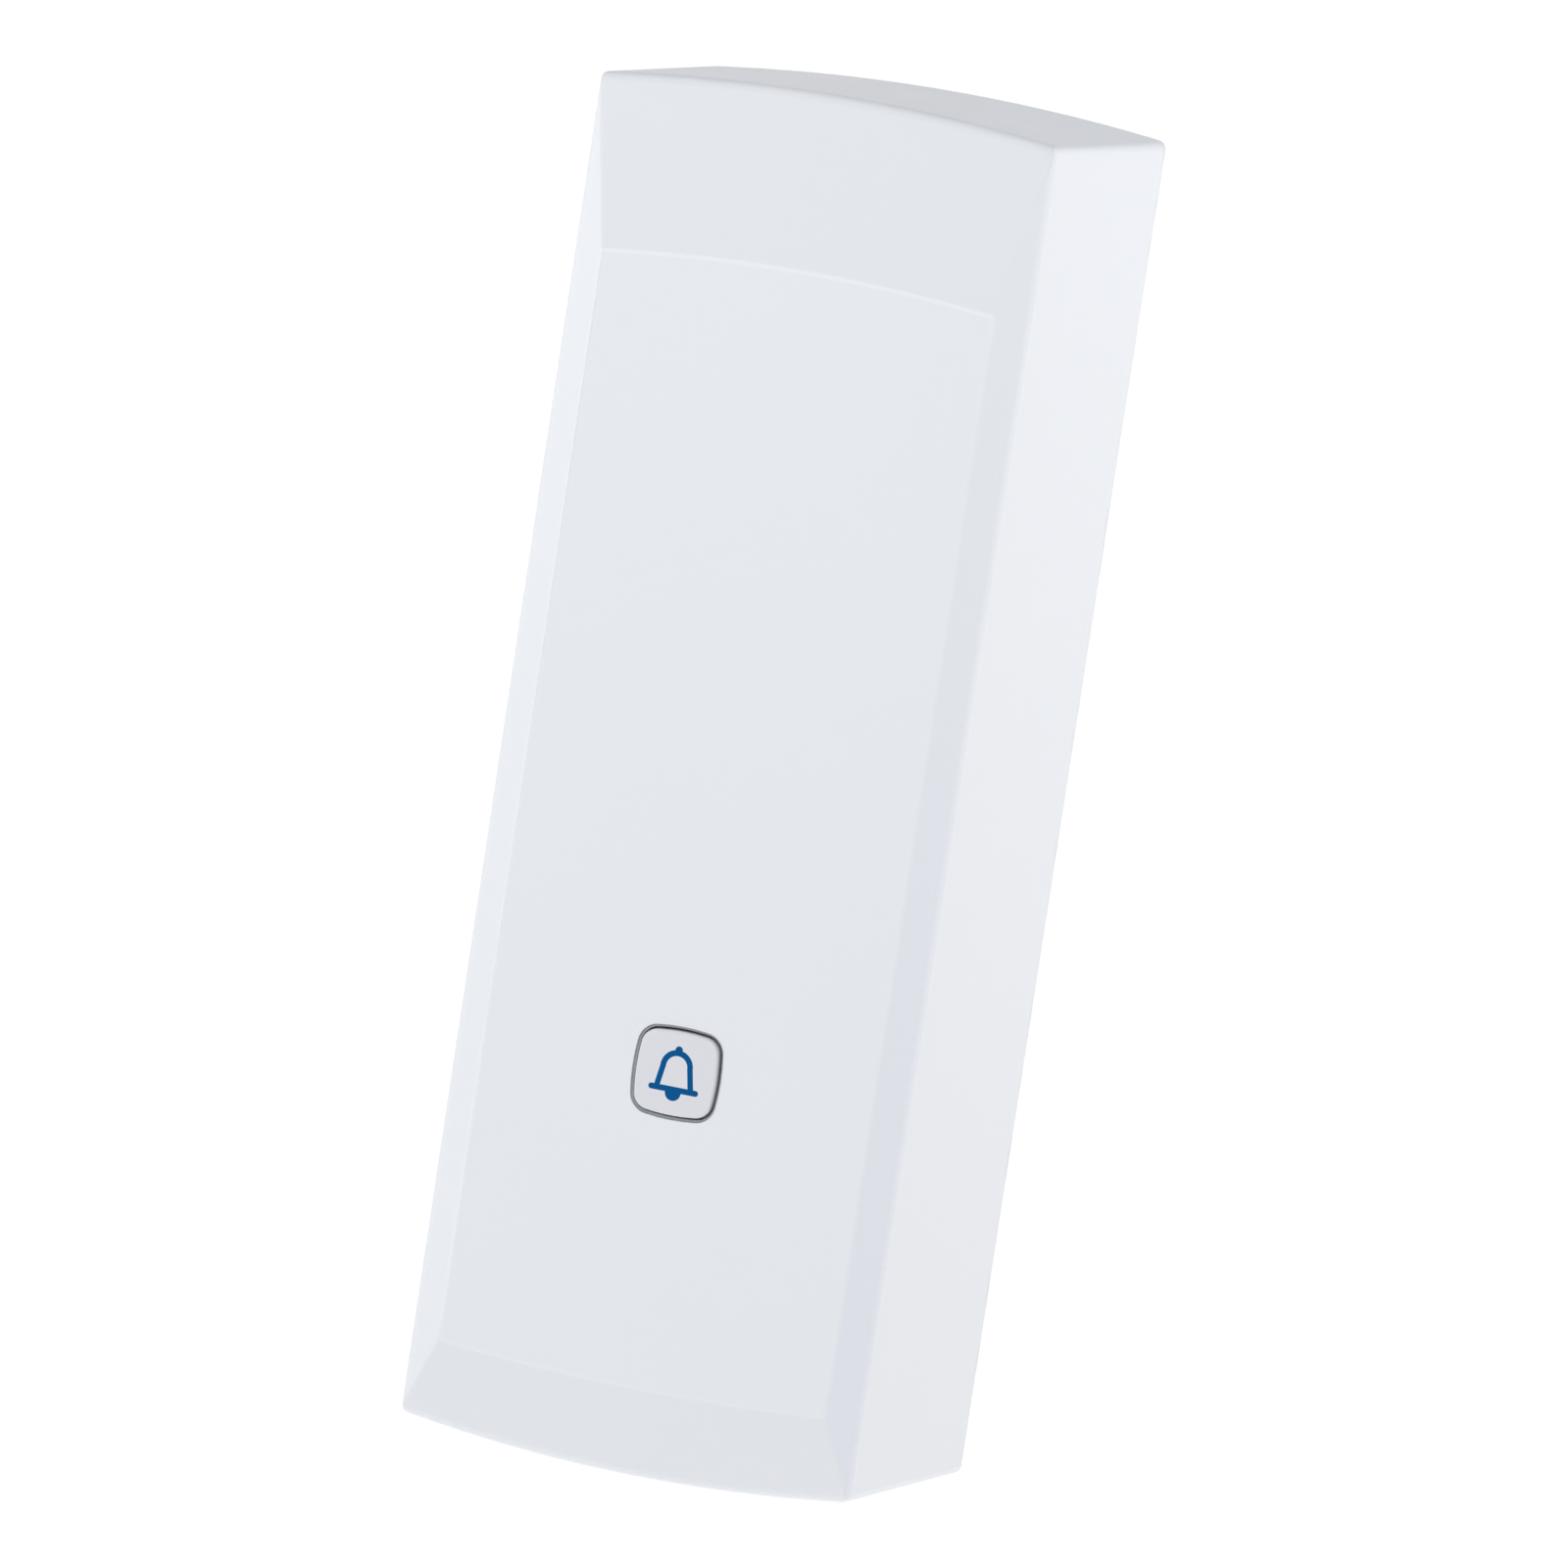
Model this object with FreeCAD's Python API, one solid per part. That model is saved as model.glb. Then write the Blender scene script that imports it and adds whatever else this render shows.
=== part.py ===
import FreeCAD, Part
import math
import os

# Battery doorbell button unit: a deep, slim housing that hangs on a bracket screwed to the wall.
#
# Frame, in millimetres: X to the visitor's right, Y into the wall, Z up. The origin is the centre of
# the bracket's back face. Places through the depth are given as distances from the wall, called
# "depth" below, so a point at depth d has y = -d.

V = FreeCAD.Vector

# ---- Housing outside -------------------------------------------------------------------------
front_width = 60.0          # across the front edge
corner_height = 170.0       # corner to corner, up the front edge
edge_depth = 44.5           # wall to the front edge
top_rise = 1.85             # crown of the top above its corners
bottom_rise = 2.2           # crown of the bottom below its corners
draft = 0.85                # how much further out each side stands at the wall
rim_gap = 0.3               # housing rim to the wall
edge_fillet = 1.2           # upright corners, front edge, mitres and panel edge
rim_fillet = 0.5

# ---- Raised front panel, framed by four sloping facets ---------------------------------------
panel_rise = 1.6            # panel in front of the front edge
side_facet = 4.2
top_facet = 21.8
bottom_facet = 10.2
panel_top_rise = 1.5
panel_bottom_rise = 1.1

# ---- Housing walls ---------------------------------------------------------------------------
side_wall = 2.0
face_wall = 2.2
ledge_width = 1.4           # rib inside the housing that the gasket presses on
ledge_thickness = 1.6
rib_depth = 1.4             # stiffening ribs behind the panel
rib_thickness = 1.2
rib_margin = 14.0           # panel's top corners down to the upper rib
rib_above_board = 3.0
cavity_margin = 0.4         # cavity's front edge inside the panel's edge

# ---- Clearances ------------------------------------------------------------------------------
fit_gap = 0.15              # between moulded pieces that locate each other
slide_gap = 0.2             # between pieces that slide past each other
free_gap = 0.3              # between pieces that never meet
thread_gap = 0.05           # round a screw's shank
sink = 0.2                  # how far a fused piece reaches into its neighbour
past = 1.0                  # how far a cutting tool reaches past what it cuts

# ---- Wall bracket ----------------------------------------------------------------------------
bracket_thickness = 3.0
bracket_side_margin = 3.5   # front edge to the bracket's side
bracket_corner = 5.0
case_lift = 7.0             # lift that frees the housing from the hooks
wall_slot_spacing = 120.0
wall_slot_length = 8.0
wall_hole_spacing = 36.0
wall_hole_radius = 2.0
countersink_depth = 1.8
bracket_pocket_depth = 1.2
bracket_pocket_width = 13.0
bracket_pocket_height = 34.0
bracket_pocket_rise = 28.0  # pocket centre above or below the middle
bracket_pocket_gap = 3.0    # web between two pockets
bracket_pocket_corner = 2.0
bracket_spare = 1.5         # bracket's end to the housing's wall at full lift
hook_inset = 24.5           # bracket's end to the hook's stem
hook_width = 5.4
hook_stem = 2.5
hook_tongue = 5.0
hook_thickness = 1.6
hook_gap = 0.4              # tongue to the tray in front of it
hook_chamfer = 0.5
pocket_spare = 1.2          # pocket's top above the tongue

# ---- Base tray -------------------------------------------------------------------------------
tray_gap = 0.5              # bracket's front to the tray's back
tray_thickness = 2.0
skirt_wall = 1.6
skirt_depth = 10.0          # wall to the skirt's front edge
gasket_thickness = 1.0
gasket_outer_gap = 0.1      # gasket inside the skirt's outer face
gasket_inner_lap = 0.2      # gasket's inner edge short of the skirt's inner face
pocket_wall = 1.2
bay_wall = 1.5
bay_rib = 0.7               # rib between the two rows of cells
bay_rib_margin = 8.0        # bay's end to the rib's end
tab_slot_half = 2.0         # half the slot for a contact's tab

# ---- Cells (AA) and their contacts -----------------------------------------------------------
cell_diameter = 14.3
cell_length = 50.3          # with the nub
nub_height = 1.2
nub_diameter = 5.2
cell_edge = 0.6
cells_in_a_row = 2
rows = 2
row_gap = 1.2               # between the two rows
contact_thickness = 0.5
contact_half_depth = 5.1
contact_half_width = 6.0
contact_tab_half = 1.5
contact_tab_reach = 3.0     # tab in front of the bay
contact_gap = 0.1           # cell to the plate it faces
spring_height = 5.0
spring_radius = 3.2
spring_wire = 0.7
spring_turns = 3.5
lead_diameter = 1.3

# ---- Battery door ----------------------------------------------------------------------------
door_thickness = 1.5
door_overlap = 1.8          # door's side past the bay opening
door_end_overlap = 3.2      # door's end past the bay opening
door_travel = 6.0
door_tab_height = 5.0
door_tab_rise = 30.0        # tab centre above or below the door's middle
door_foot = 1.2             # foot's reach behind the rail, and its thickness
door_stem_share = 0.6       # stem's share of the room between a cell and the bay's wall
door_grip_half = 7.0        # half the length of a grip groove
door_grip_width = 1.4
door_grip_depth = 0.5
door_grip_pitch = 3.2
door_grip_count = 5
door_grip_margin = 10.0     # door's lower end to the first groove
foam_thickness = 0.4
foam_side_lap = 3.0         # foam past each row's centre line
foam_end_margin = 12.0

# ---- Push button -----------------------------------------------------------------------------
button_hole = 11.8          # across the hole's middle
button_corner = 2.7         # corner radius of the hole
button_bow = 26.0           # radius of the hole's four bowed sides
button_ring = 0.6           # gap round the cap
button_height = 48.9        # button's centre above the bottom corners
button_travel = 0.5
cap_rise = 0.4              # cap's face in front of the panel
cap_fillet = 0.3
flange_overlap = 0.55
flange_thickness = 0.8
flange_gap = 0.1            # flange to the seal
post_length = 0.4           # cap's post behind its flange
post_rim = 0.4              # post's radius past the plunger's
seal_thickness = 0.6
seal_lip = 0.3
seal_recess = 0.45          # lip's edge behind the panel
seal_hole_gap = 0.03        # lip to the hole's wall
guide_wall = 1.8
guide_floor = 1.6
guide_stop_gap = 0.1        # flange to the guide's floor at full travel
sign_depth = 0.3            # inlaid sign
sign_stroke = 0.75

# ---- Switch and boards -----------------------------------------------------------------------
board_thickness = 1.6
board_width = 38.0
board_height = 80.0
board_below_button = 20.0
switch_size = 6.2
switch_height = 3.4
plunger_radius = 1.7
plunger_height = 0.9
touch_gap = 0.05            # cap's post to the plunger
switch_margin = 1.6         # switch to the edge of the guide's opening
switch_bevel = 0.3
plunger_gap = 0.08          # plunger in its well
plunger_well = 1.5
plunger_hidden = 0.8        # plunger inside its well at rest
plunger_edge = 0.2

# ---- Pieces on the boards --------------------------------------------------------------------
board_corner = 2.0
chip_side = 9.0
chip_height = 1.0
chip_x = -9.0
chip_below_top = 46.0       # board's top to the chip's centre
radio_width = 16.0
radio_height = 21.0
radio_thickness = 0.8
radio_x = 6.5
radio_below_top = 15.5      # board's top to the radio board's centre
shield_width = 13.0
shield_length = 13.5
shield_height = 2.2
shield_sheet = 0.2
shield_margin = 1.5         # radio board's lower edge to the shield
can_radius = 3.15
can_height = 7.5
can_x = 9.0
can_pitch = 9.0
can_above_bottom = 30.0
can_count = 2
small_edge = 0.5
connector_half_width = 4.0
connector_depth = 5.0
connector_height = 6.5
connector_rise = 5.5        # bay's lower end to the connector
lead_spacing = 3.0
lamp_half_width = 1.6
lamp_half_height = 0.8
lamp_base = 0.9
lamp_radius = 0.65
lamp_lens = 0.4
lamp_margin = 2.2           # guide's edge to the lamp's centre
antenna_width = 12.0
antenna_thickness = 0.3
antenna_margin = 2.0
antenna_cable_radius = 0.5

# ---- Screws ----------------------------------------------------------------------------------
cover_screw_radius = 1.25
cover_screw_length = 14.0
cover_head_radius = 2.4
cover_head_height = 2.0
cover_drive = 2.6           # across the cross recess
cover_boss_radius = 3.4
cover_screw_top_margin = 11.0
cover_screw_bottom_margin = 9.0
head_recess = 0.4           # screw's head below the tray's back
pilot_spare = 0.6           # pilot hole past the screw's tip
boss_step = 2.0             # skirt's edge down to the bosses' ends
small_screw_radius = 0.9
small_screw_length = 5.0
guide_screw_length = 4.0
small_drive = 1.8
small_head_radius = 1.7
small_head_height = 1.3
small_boss_radius = 2.3
board_screw_margin = 3.0
guide_screw_margin = 0.6    # guide's edge to a screw's head
guide_lug_gap = 2.0         # panel's inside to the guide's lugs

# ---- Places that follow from the sizes above -------------------------------------------------
half_width = front_width / 2
half_height = corner_height / 2
panel_depth = edge_depth + panel_rise
panel_inside = panel_depth - face_wall
edge_inside = edge_depth - face_wall
tray_back = bracket_thickness + tray_gap
tray_front = tray_back + tray_thickness
ledge_back = tray_back + door_thickness + slide_gap
ledge_front = ledge_back + bay_wall
door_inside = tray_back + door_thickness
cell_radius = cell_diameter / 2
row_pitch = cell_diameter + row_gap
cell_depth = door_inside + foam_thickness + fit_gap + cell_radius
bay_front = cell_depth + cell_radius + free_gap
bay_half_width = row_pitch / 2 + cell_radius + free_gap
foot_front = ledge_front + slide_gap + door_foot
cell_side = row_pitch / 2 + math.sqrt(cell_radius**2 - (cell_depth - foot_front)**2)
door_stem = door_stem_share * (bay_half_width - cell_side)
bay_half_height = (cells_in_a_row * cell_length + spring_height + 2 * contact_thickness) / 2 + free_gap
door_half_width = bay_half_width + door_overlap
door_half_height = bay_half_height + door_end_overlap
rail_half_width = door_half_width + slide_gap + bay_wall
tray_inset = side_wall + fit_gap
button_z = button_height - half_height
hole_half = button_hole / 2
cap_half = hole_half - button_ring
flange_half = hole_half + flange_overlap
flange_front = panel_inside - seal_thickness - flange_gap
flange_back = flange_front - flange_thickness
guide_inner = flange_half + free_gap
guide_half = guide_inner + guide_wall
guide_front = panel_inside - seal_thickness
guide_seat = flange_back - button_travel - guide_stop_gap
guide_back = guide_seat - guide_floor
plunger_front = flange_back - post_length - touch_gap
switch_front = plunger_front - plunger_height
board_front = switch_front - switch_height
board_back = board_front - board_thickness
board_bottom = button_z - board_below_button
board_top = board_bottom + board_height
boss_end = skirt_depth - boss_step
rib_high = half_height - top_facet - rib_margin
rib_low = board_top + rib_above_board
cap_face = panel_depth + cap_rise
radio_face = board_back - radio_thickness
radio_z = board_top - radio_below_top
connector_low = connector_rise - bay_half_height
lead_depth = board_back - connector_depth / 2
lead_start = bay_front + bay_wall + contact_tab_reach
antenna_low = rib_low + antenna_margin


# ---- Helpers ---------------------------------------------------------------------------------
def box(x0, x1, depth0, depth1, z0, z1):
    """Block between two values of x, depth and z."""
    return Part.makeBox(x1 - x0, depth1 - depth0, z1 - z0, V(x0, -depth1, z0))


def rod(x, z, radius, depth0, depth1):
    """Round bar square to the wall."""
    return Part.makeCylinder(radius, depth1 - depth0, V(x, -depth0, z), V(0, -1, 0))


def upright(x, depth, radius, z0, z1):
    """Round bar along Z."""
    return Part.makeCylinder(radius, z1 - z0, V(x, -depth, z0), V(0, 0, 1))


def fuse(shapes):
    """One solid from shapes that overlap or meet."""
    result = shapes[0]
    if len(shapes) > 1:
        result = result.fuse(list(shapes[1:]))
    return result.removeSplitter()


def cut(shape, tools):
    """Shape with every tool taken out of it."""
    return shape.cut(list(tools))


def arc(a, b, c):
    """Edge on the circle through three points."""
    return Part.Arc(a, b, c).toShape()


def line(a, b):
    return Part.LineSegment(a, b).toShape()


def arc_radius(half_chord, rise):
    return (half_chord ** 2 + rise ** 2) / (2 * rise)


def rounded_box(half_x, half_z, corner, depth0, depth1, x=0.0, z=0.0):
    """Block with its four corners rounded, centred on x, z."""
    k = corner * math.sqrt(0.5)
    edges = []
    for sx, sz in ((1, 1), (-1, 1), (-1, -1), (1, -1)):
        cx = x + sx * (half_x - corner)
        cz = z + sz * (half_z - corner)
        on_side = V(cx + sx * corner, -depth0, cz)
        on_end = V(cx, -depth0, cz + sz * corner)
        middle = V(cx + sx * k, -depth0, cz + sz * k)
        first, last = (on_side, on_end) if sx * sz > 0 else (on_end, on_side)
        edges.append((first, middle, last))
    wire = []
    for i, (first, middle, last) in enumerate(edges):
        wire.append(arc(first, middle, last))
        wire.append(line(last, edges[(i + 1) % 4][0]))
    face = Part.Face(Part.Wire(wire))
    return face.extrude(V(0, -(depth1 - depth0), 0))


def stadium(half_length, radius, depth, z):
    """Outline of an upright slot, half_length from its middle to each end's centre."""
    right_low = V(radius, -depth, z - half_length)
    right_high = V(radius, -depth, z + half_length)
    left_high = V(-radius, -depth, z + half_length)
    left_low = V(-radius, -depth, z - half_length)
    top = V(0, -depth, z + half_length + radius)
    bottom = V(0, -depth, z - half_length - radius)
    return Part.Wire([line(right_low, right_high), arc(right_high, top, left_high),
                      line(left_high, left_low), arc(left_low, bottom, right_low)])


arc_share = 0.45            # share of the shorter run that a tube's arc may take


def tube(points, radius):
    """Round cord through points (x, depth, z): straight runs joined by tangent arcs."""
    places = [V(x, -depth, z) for x, depth, z in points]
    edges = []
    start = places[0]
    for before, corner, after in zip(places, places[1:], places[2:]):
        came = (corner - before).normalize()
        goes = (after - corner).normalize()
        turn = came.getAngle(goes)
        reach = arc_share * min((corner - before).Length, (after - corner).Length)
        enter = corner - came * reach
        leave = corner + goes * reach
        inward = (goes - came).normalize()
        bend = reach / math.tan(turn / 2)
        middle = corner + inward * (bend / math.cos(turn / 2) - bend)
        print("tube of radius", radius, "bends at radius", round(bend, 2))
        edges.append(line(start, enter))
        edges.append(arc(enter, middle, leave))
        start = leave
    edges.append(line(start, places[-1]))
    path = Part.Wire(edges)
    circle = Part.Circle(places[0], places[1] - places[0], radius)
    return path.makePipeShell([Part.Wire(circle.toShape())], True, False)


def flat_edges(shape, depth):
    """Edges that lie in the plane at a depth."""
    return [e for e in shape.Edges
            if abs(e.BoundBox.YMin + depth) < 1e-4 and abs(e.BoundBox.YMax + depth) < 1e-4]


def screw(x, z, shank_radius, length, head_radius, head_height, seat, drive):
    """Pan-head screw driven away from the wall, its head on the wall's side of the seat depth."""
    head_back = seat - head_height
    head = rod(x, z, head_radius, head_back, seat)
    head = head.makeFillet(head_height * 0.35, flat_edges(head, head_back))
    tip_start = seat + length - shank_radius
    shank = rod(x, z, shank_radius, seat - sink, tip_start)
    tip = Part.makeCone(shank_radius, shank_radius * 0.3, shank_radius, V(x, -tip_start, z), V(0, -1, 0))
    recess_floor = seat - head_height * 0.45
    half = drive / 2
    thin = drive / 7
    cross = [box(x - half, x + half, head_back - past, recess_floor, z - thin, z + thin),
             box(x - thin, x + thin, head_back - past, recess_floor, z - half, z + half)]
    return cut(fuse([head, shank, tip]), cross)


# ---- Outlines of the housing and its panel ---------------------------------------------------
def outline(half_x, top_crown, top_arc, bottom_crown, bottom_arc, depth):
    """Closed outline: two upright sides between a domed top and a domed bottom."""
    top_z = top_crown - top_arc + math.sqrt(top_arc ** 2 - half_x ** 2)
    bottom_z = bottom_crown + bottom_arc - math.sqrt(bottom_arc ** 2 - half_x ** 2)

    def place(x, z):
        return V(x, -depth, z)

    return Part.Wire([
        arc(place(-half_x, top_z), place(0, top_crown), place(half_x, top_z)),
        line(place(half_x, top_z), place(half_x, bottom_z)),
        arc(place(half_x, bottom_z), place(0, bottom_crown), place(-half_x, bottom_z)),
        line(place(-half_x, bottom_z), place(-half_x, top_z)),
    ])


def housing_outline(inset, depth):
    """Housing's outline at a depth, moved in by inset."""
    out = draft * (1 - depth / edge_depth) - inset
    return outline(half_width + out,
                   half_height + top_rise + out, arc_radius(half_width, top_rise) + out,
                   -half_height - bottom_rise - out, arc_radius(half_width, bottom_rise) + out,
                   depth)


def panel_outline(inset, depth):
    """Front panel's outline, moved in by inset."""
    half_x = half_width - side_facet
    return outline(half_x - inset,
                   half_height - top_facet + panel_top_rise - inset,
                   arc_radius(half_x, panel_top_rise) - inset,
                   -half_height + bottom_facet - panel_bottom_rise + inset,
                   arc_radius(half_x, panel_bottom_rise) - inset,
                   depth)


def housing_block(inset, depth0, depth1):
    """Solid slice of the housing's outline between two depths."""
    return Part.makeLoft([housing_outline(inset, depth0), housing_outline(inset, depth1)], True, True)


# ---- Where the screws and hooks stand --------------------------------------------------------
skirt_inner = half_width + draft - tray_inset - skirt_wall - draft * skirt_depth / edge_depth
boss_x = skirt_inner - free_gap - cover_boss_radius
cover_screw_places = [(sign * boss_x, z)
                      for z in (half_height - cover_screw_top_margin, 0.0,
                                cover_screw_bottom_margin - half_height)
                      for sign in (-1, 1)]
cover_screw_seat = tray_back + head_recess + cover_head_height
board_screw_places = [(sign * (board_width / 2 - board_screw_margin), z)
                      for z in (board_bottom + board_screw_margin, board_top - board_screw_margin)
                      for sign in (-1, 1)]
guide_screw_places = [(sign * (guide_half + small_head_radius + guide_screw_margin), button_z)
                      for sign in (-1, 1)]
guide_lug_front = panel_inside - guide_lug_gap
guide_lug_back = guide_lug_front - guide_floor
bracket_half_height = half_height - side_wall - case_lift - bracket_spare
hook_x = (rail_half_width + skirt_inner) / 2
hook_places = [(sign * hook_x, z)
               for z in (bracket_half_height - hook_inset, hook_inset - bracket_half_height)
               for sign in (-1, 1)]
hook_tongue_back = tray_front + hook_gap
hook_slot_top = hook_stem / 2 + fit_gap
hook_slot_bottom = hook_slot_top - hook_stem - case_lift - 2 * free_gap
pocket_top = hook_stem / 2 + hook_tongue + pocket_spare
pocket_floor = hook_tongue_back + hook_thickness + 2 * free_gap


# ---- Wall bracket ----------------------------------------------------------------------------
def wall_bracket():
    """Plate with upright slots, round holes and four hooks that the tray hangs on."""
    plate = rounded_box(half_width - bracket_side_margin, bracket_half_height, bracket_corner,
                        0.0, bracket_thickness)
    throat = bracket_thickness - countersink_depth
    wide = wall_hole_radius + countersink_depth
    half_slot = wall_slot_length / 2 - wall_hole_radius
    tools = []
    for z in (-wall_slot_spacing / 2, wall_slot_spacing / 2):
        shaft = Part.Face(stadium(half_slot, wall_hole_radius, -past, z))
        tools.append(shaft.extrude(V(0, -bracket_thickness - 2 * past, 0)))
        tools.append(Part.makeLoft([stadium(half_slot, wall_hole_radius, throat, z),
                                    stadium(half_slot, wide, bracket_thickness, z)], True, True))
    for x in (-wall_hole_spacing / 2, wall_hole_spacing / 2):
        tools.append(rod(x, 0, wall_hole_radius, -past, bracket_thickness + past))
        tools.append(Part.makeCone(wall_hole_radius, wide, countersink_depth, V(x, -throat, 0),
                                   V(0, -1, 0)))
    pocket_x = (bracket_pocket_width + bracket_pocket_gap) / 2
    for z in (-bracket_pocket_rise, bracket_pocket_rise):
        for x in (-pocket_x, pocket_x):
            tools.append(rounded_box(bracket_pocket_width / 2, bracket_pocket_height / 2,
                                     bracket_pocket_corner, bracket_thickness - bracket_pocket_depth,
                                     bracket_thickness + past, x, z))
    return fuse([cut(plate, tools)] + [hook(x, z) for x, z in hook_places])


def hook(x, z):
    """Stem standing out of the plate, with a tongue that points up."""
    x0 = x - hook_width / 2
    x1 = x + hook_width / 2
    low = z - hook_stem / 2
    high = low + hook_stem + hook_tongue
    front = hook_tongue_back + hook_thickness
    stem = box(x0, x1, bracket_thickness - sink, front, low, low + hook_stem)
    tongue = box(x0, x1, hook_tongue_back, front, low, high)
    tip = [e for e in tongue.Edges if e.BoundBox.ZMin > high - 1e-6 and e.BoundBox.XLength > sink]
    return fuse([stem, tongue.makeChamfer(hook_chamfer, tip)])


# ---- Front cover -----------------------------------------------------------------------------
def front_cover():
    """Outer shell: four sides, sloping facets, raised panel, and what is moulded inside it."""
    shell = Part.makeLoft([housing_outline(0, rim_gap), housing_outline(0, edge_depth),
                           panel_outline(0, panel_depth)], True, True)
    corners = [e for e in shell.Edges if e.BoundBox.YLength > panel_rise / 2]
    shell = shell.makeFillet(edge_fillet, corners + flat_edges(shell, edge_depth)
                             + flat_edges(shell, panel_depth))
    shell = shell.makeFillet(rim_fillet, flat_edges(shell, rim_gap))
    cavity = Part.makeLoft([housing_outline(side_wall, rim_gap - past),
                            housing_outline(side_wall, edge_inside),
                            panel_outline(cavity_margin, panel_inside)], True, True)
    shell = shell.cut(cavity)

    ledge_back_face = skirt_depth + gasket_thickness
    ledge_front_face = ledge_back_face + ledge_thickness
    ledge = housing_block(side_wall - sink, ledge_back_face, ledge_front_face)
    ledge = ledge.cut(housing_block(side_wall + ledge_width, ledge_back_face - past,
                                    ledge_front_face + past))
    rooted = panel_inside + face_wall / 2
    edge_rooted = edge_inside + face_wall / 2
    additions = [ledge]
    tools = []
    for x, z in cover_screw_places:
        additions.append(rod(x, z, cover_boss_radius, boss_end, edge_rooted))
        tools.append(rod(x, z, cover_screw_radius + thread_gap, boss_end - past,
                         cover_screw_seat + cover_screw_length + pilot_spare))
    for x, z in board_screw_places:
        additions.append(rod(x, z, small_boss_radius, board_front, rooted))
        tools.append(rod(x, z, small_screw_radius + thread_gap, board_front - past,
                         board_back + small_screw_length + pilot_spare))
    for x, z in guide_screw_places:
        additions.append(rod(x, z, small_boss_radius, guide_lug_front, rooted))
        tools.append(rod(x, z, small_screw_radius + thread_gap, guide_lug_front - past,
                         guide_lug_back + guide_screw_length + pilot_spare))
    for z in (rib_low, rib_high):
        additions.append(box(-skirt_inner, skirt_inner, panel_inside - rib_depth, rooted,
                             z - rib_thickness / 2, z + rib_thickness / 2))
    tools.append(soft_square(hole_half, panel_inside - past, panel_depth + past))
    return cut(fuse([shell] + additions), tools)


# ---- Base tray and its gasket ----------------------------------------------------------------
def base_tray():
    """Back of the housing: skirt, hook pockets, screw seats and the cell bay."""
    dish = housing_block(tray_inset, tray_back, skirt_depth)
    dish = dish.cut(housing_block(tray_inset + skirt_wall, tray_front, skirt_depth + past))
    additions = []
    tools = []

    recess_low = -door_half_height - slide_gap
    recess_high = door_half_height + door_travel + slide_gap
    additions.append(box(-rail_half_width, rail_half_width, tray_back, ledge_front,
                         recess_low - bay_wall, recess_high + bay_wall))
    tools.append(box(-door_half_width - slide_gap, door_half_width + slide_gap, tray_back - past,
                     ledge_back, recess_low, recess_high))

    bay_outer = bay_half_width + bay_wall
    bay_end = bay_half_height + bay_wall
    additions.append(box(-bay_outer, bay_outer, ledge_back, bay_front + bay_wall, -bay_end, bay_end))
    tools.append(box(-bay_half_width, bay_half_width, tray_back - past, bay_front,
                     -bay_half_height, bay_half_height))

    half = hook_width / 2 + free_gap
    for x, z in hook_places:
        low = z + hook_slot_bottom
        high = z + pocket_top
        additions.append(box(x - half - pocket_wall, x + half + pocket_wall, tray_back,
                             pocket_floor + pocket_wall, low - pocket_wall, high + pocket_wall))
        tools.append(box(x - half, x + half, tray_front, pocket_floor, low, high))
        tools.append(box(x - half, x + half, tray_back - past, tray_front + sink, low,
                         z + hook_slot_top))

    for x, z in cover_screw_places:
        additions.append(rod(x, z, cover_boss_radius, tray_back, boss_end))
        tools.append(rod(x, z, cover_head_radius + fit_gap, tray_back - past, cover_screw_seat))
        tools.append(rod(x, z, cover_screw_radius + fit_gap, tray_back - past, boss_end + past))

    near = bay_half_width - sink
    far = bay_half_width + door_foot + free_gap
    window_front = foot_front + free_gap
    for middle in (-door_tab_rise, door_tab_rise):
        low = middle - door_tab_height / 2 - free_gap
        high = middle + door_tab_height / 2 + free_gap + door_travel
        for sign in (-1, 1):
            x0, x1 = sorted((sign * near, sign * far))
            tools.append(box(x0, x1, ledge_front, window_front, low, high))
            tools.append(box(x0, x1, ledge_back - sink, ledge_front + sink, low + door_travel, high))

    for x in (-row_pitch / 2, row_pitch / 2):
        tools.append(box(x - tab_slot_half, x + tab_slot_half, bay_front - sink,
                         bay_front + bay_wall + past, -bay_half_height,
                         -bay_half_height + contact_thickness + fit_gap))
    rib_end = bay_half_height - bay_rib_margin
    rib = box(-bay_rib / 2, bay_rib / 2, cell_depth + past, bay_front + sink, -rib_end, rib_end)
    return fuse([cut(fuse([dish] + additions), tools), rib])


def case_gasket():
    """Soft loop pressed between the tray's skirt and the cover's ledge."""
    front = skirt_depth + gasket_thickness
    loop = housing_block(tray_inset + gasket_outer_gap, skirt_depth, front)
    return loop.cut(housing_block(tray_inset + skirt_wall - gasket_inner_lap, skirt_depth - past,
                                  front + past))


def cover_screws():
    """Long screws through the tray into the cover's bosses."""
    return Part.makeCompound([screw(x, z, cover_screw_radius, cover_screw_length, cover_head_radius,
                                    cover_head_height, cover_screw_seat, cover_drive)
                              for x, z in cover_screw_places])


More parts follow.
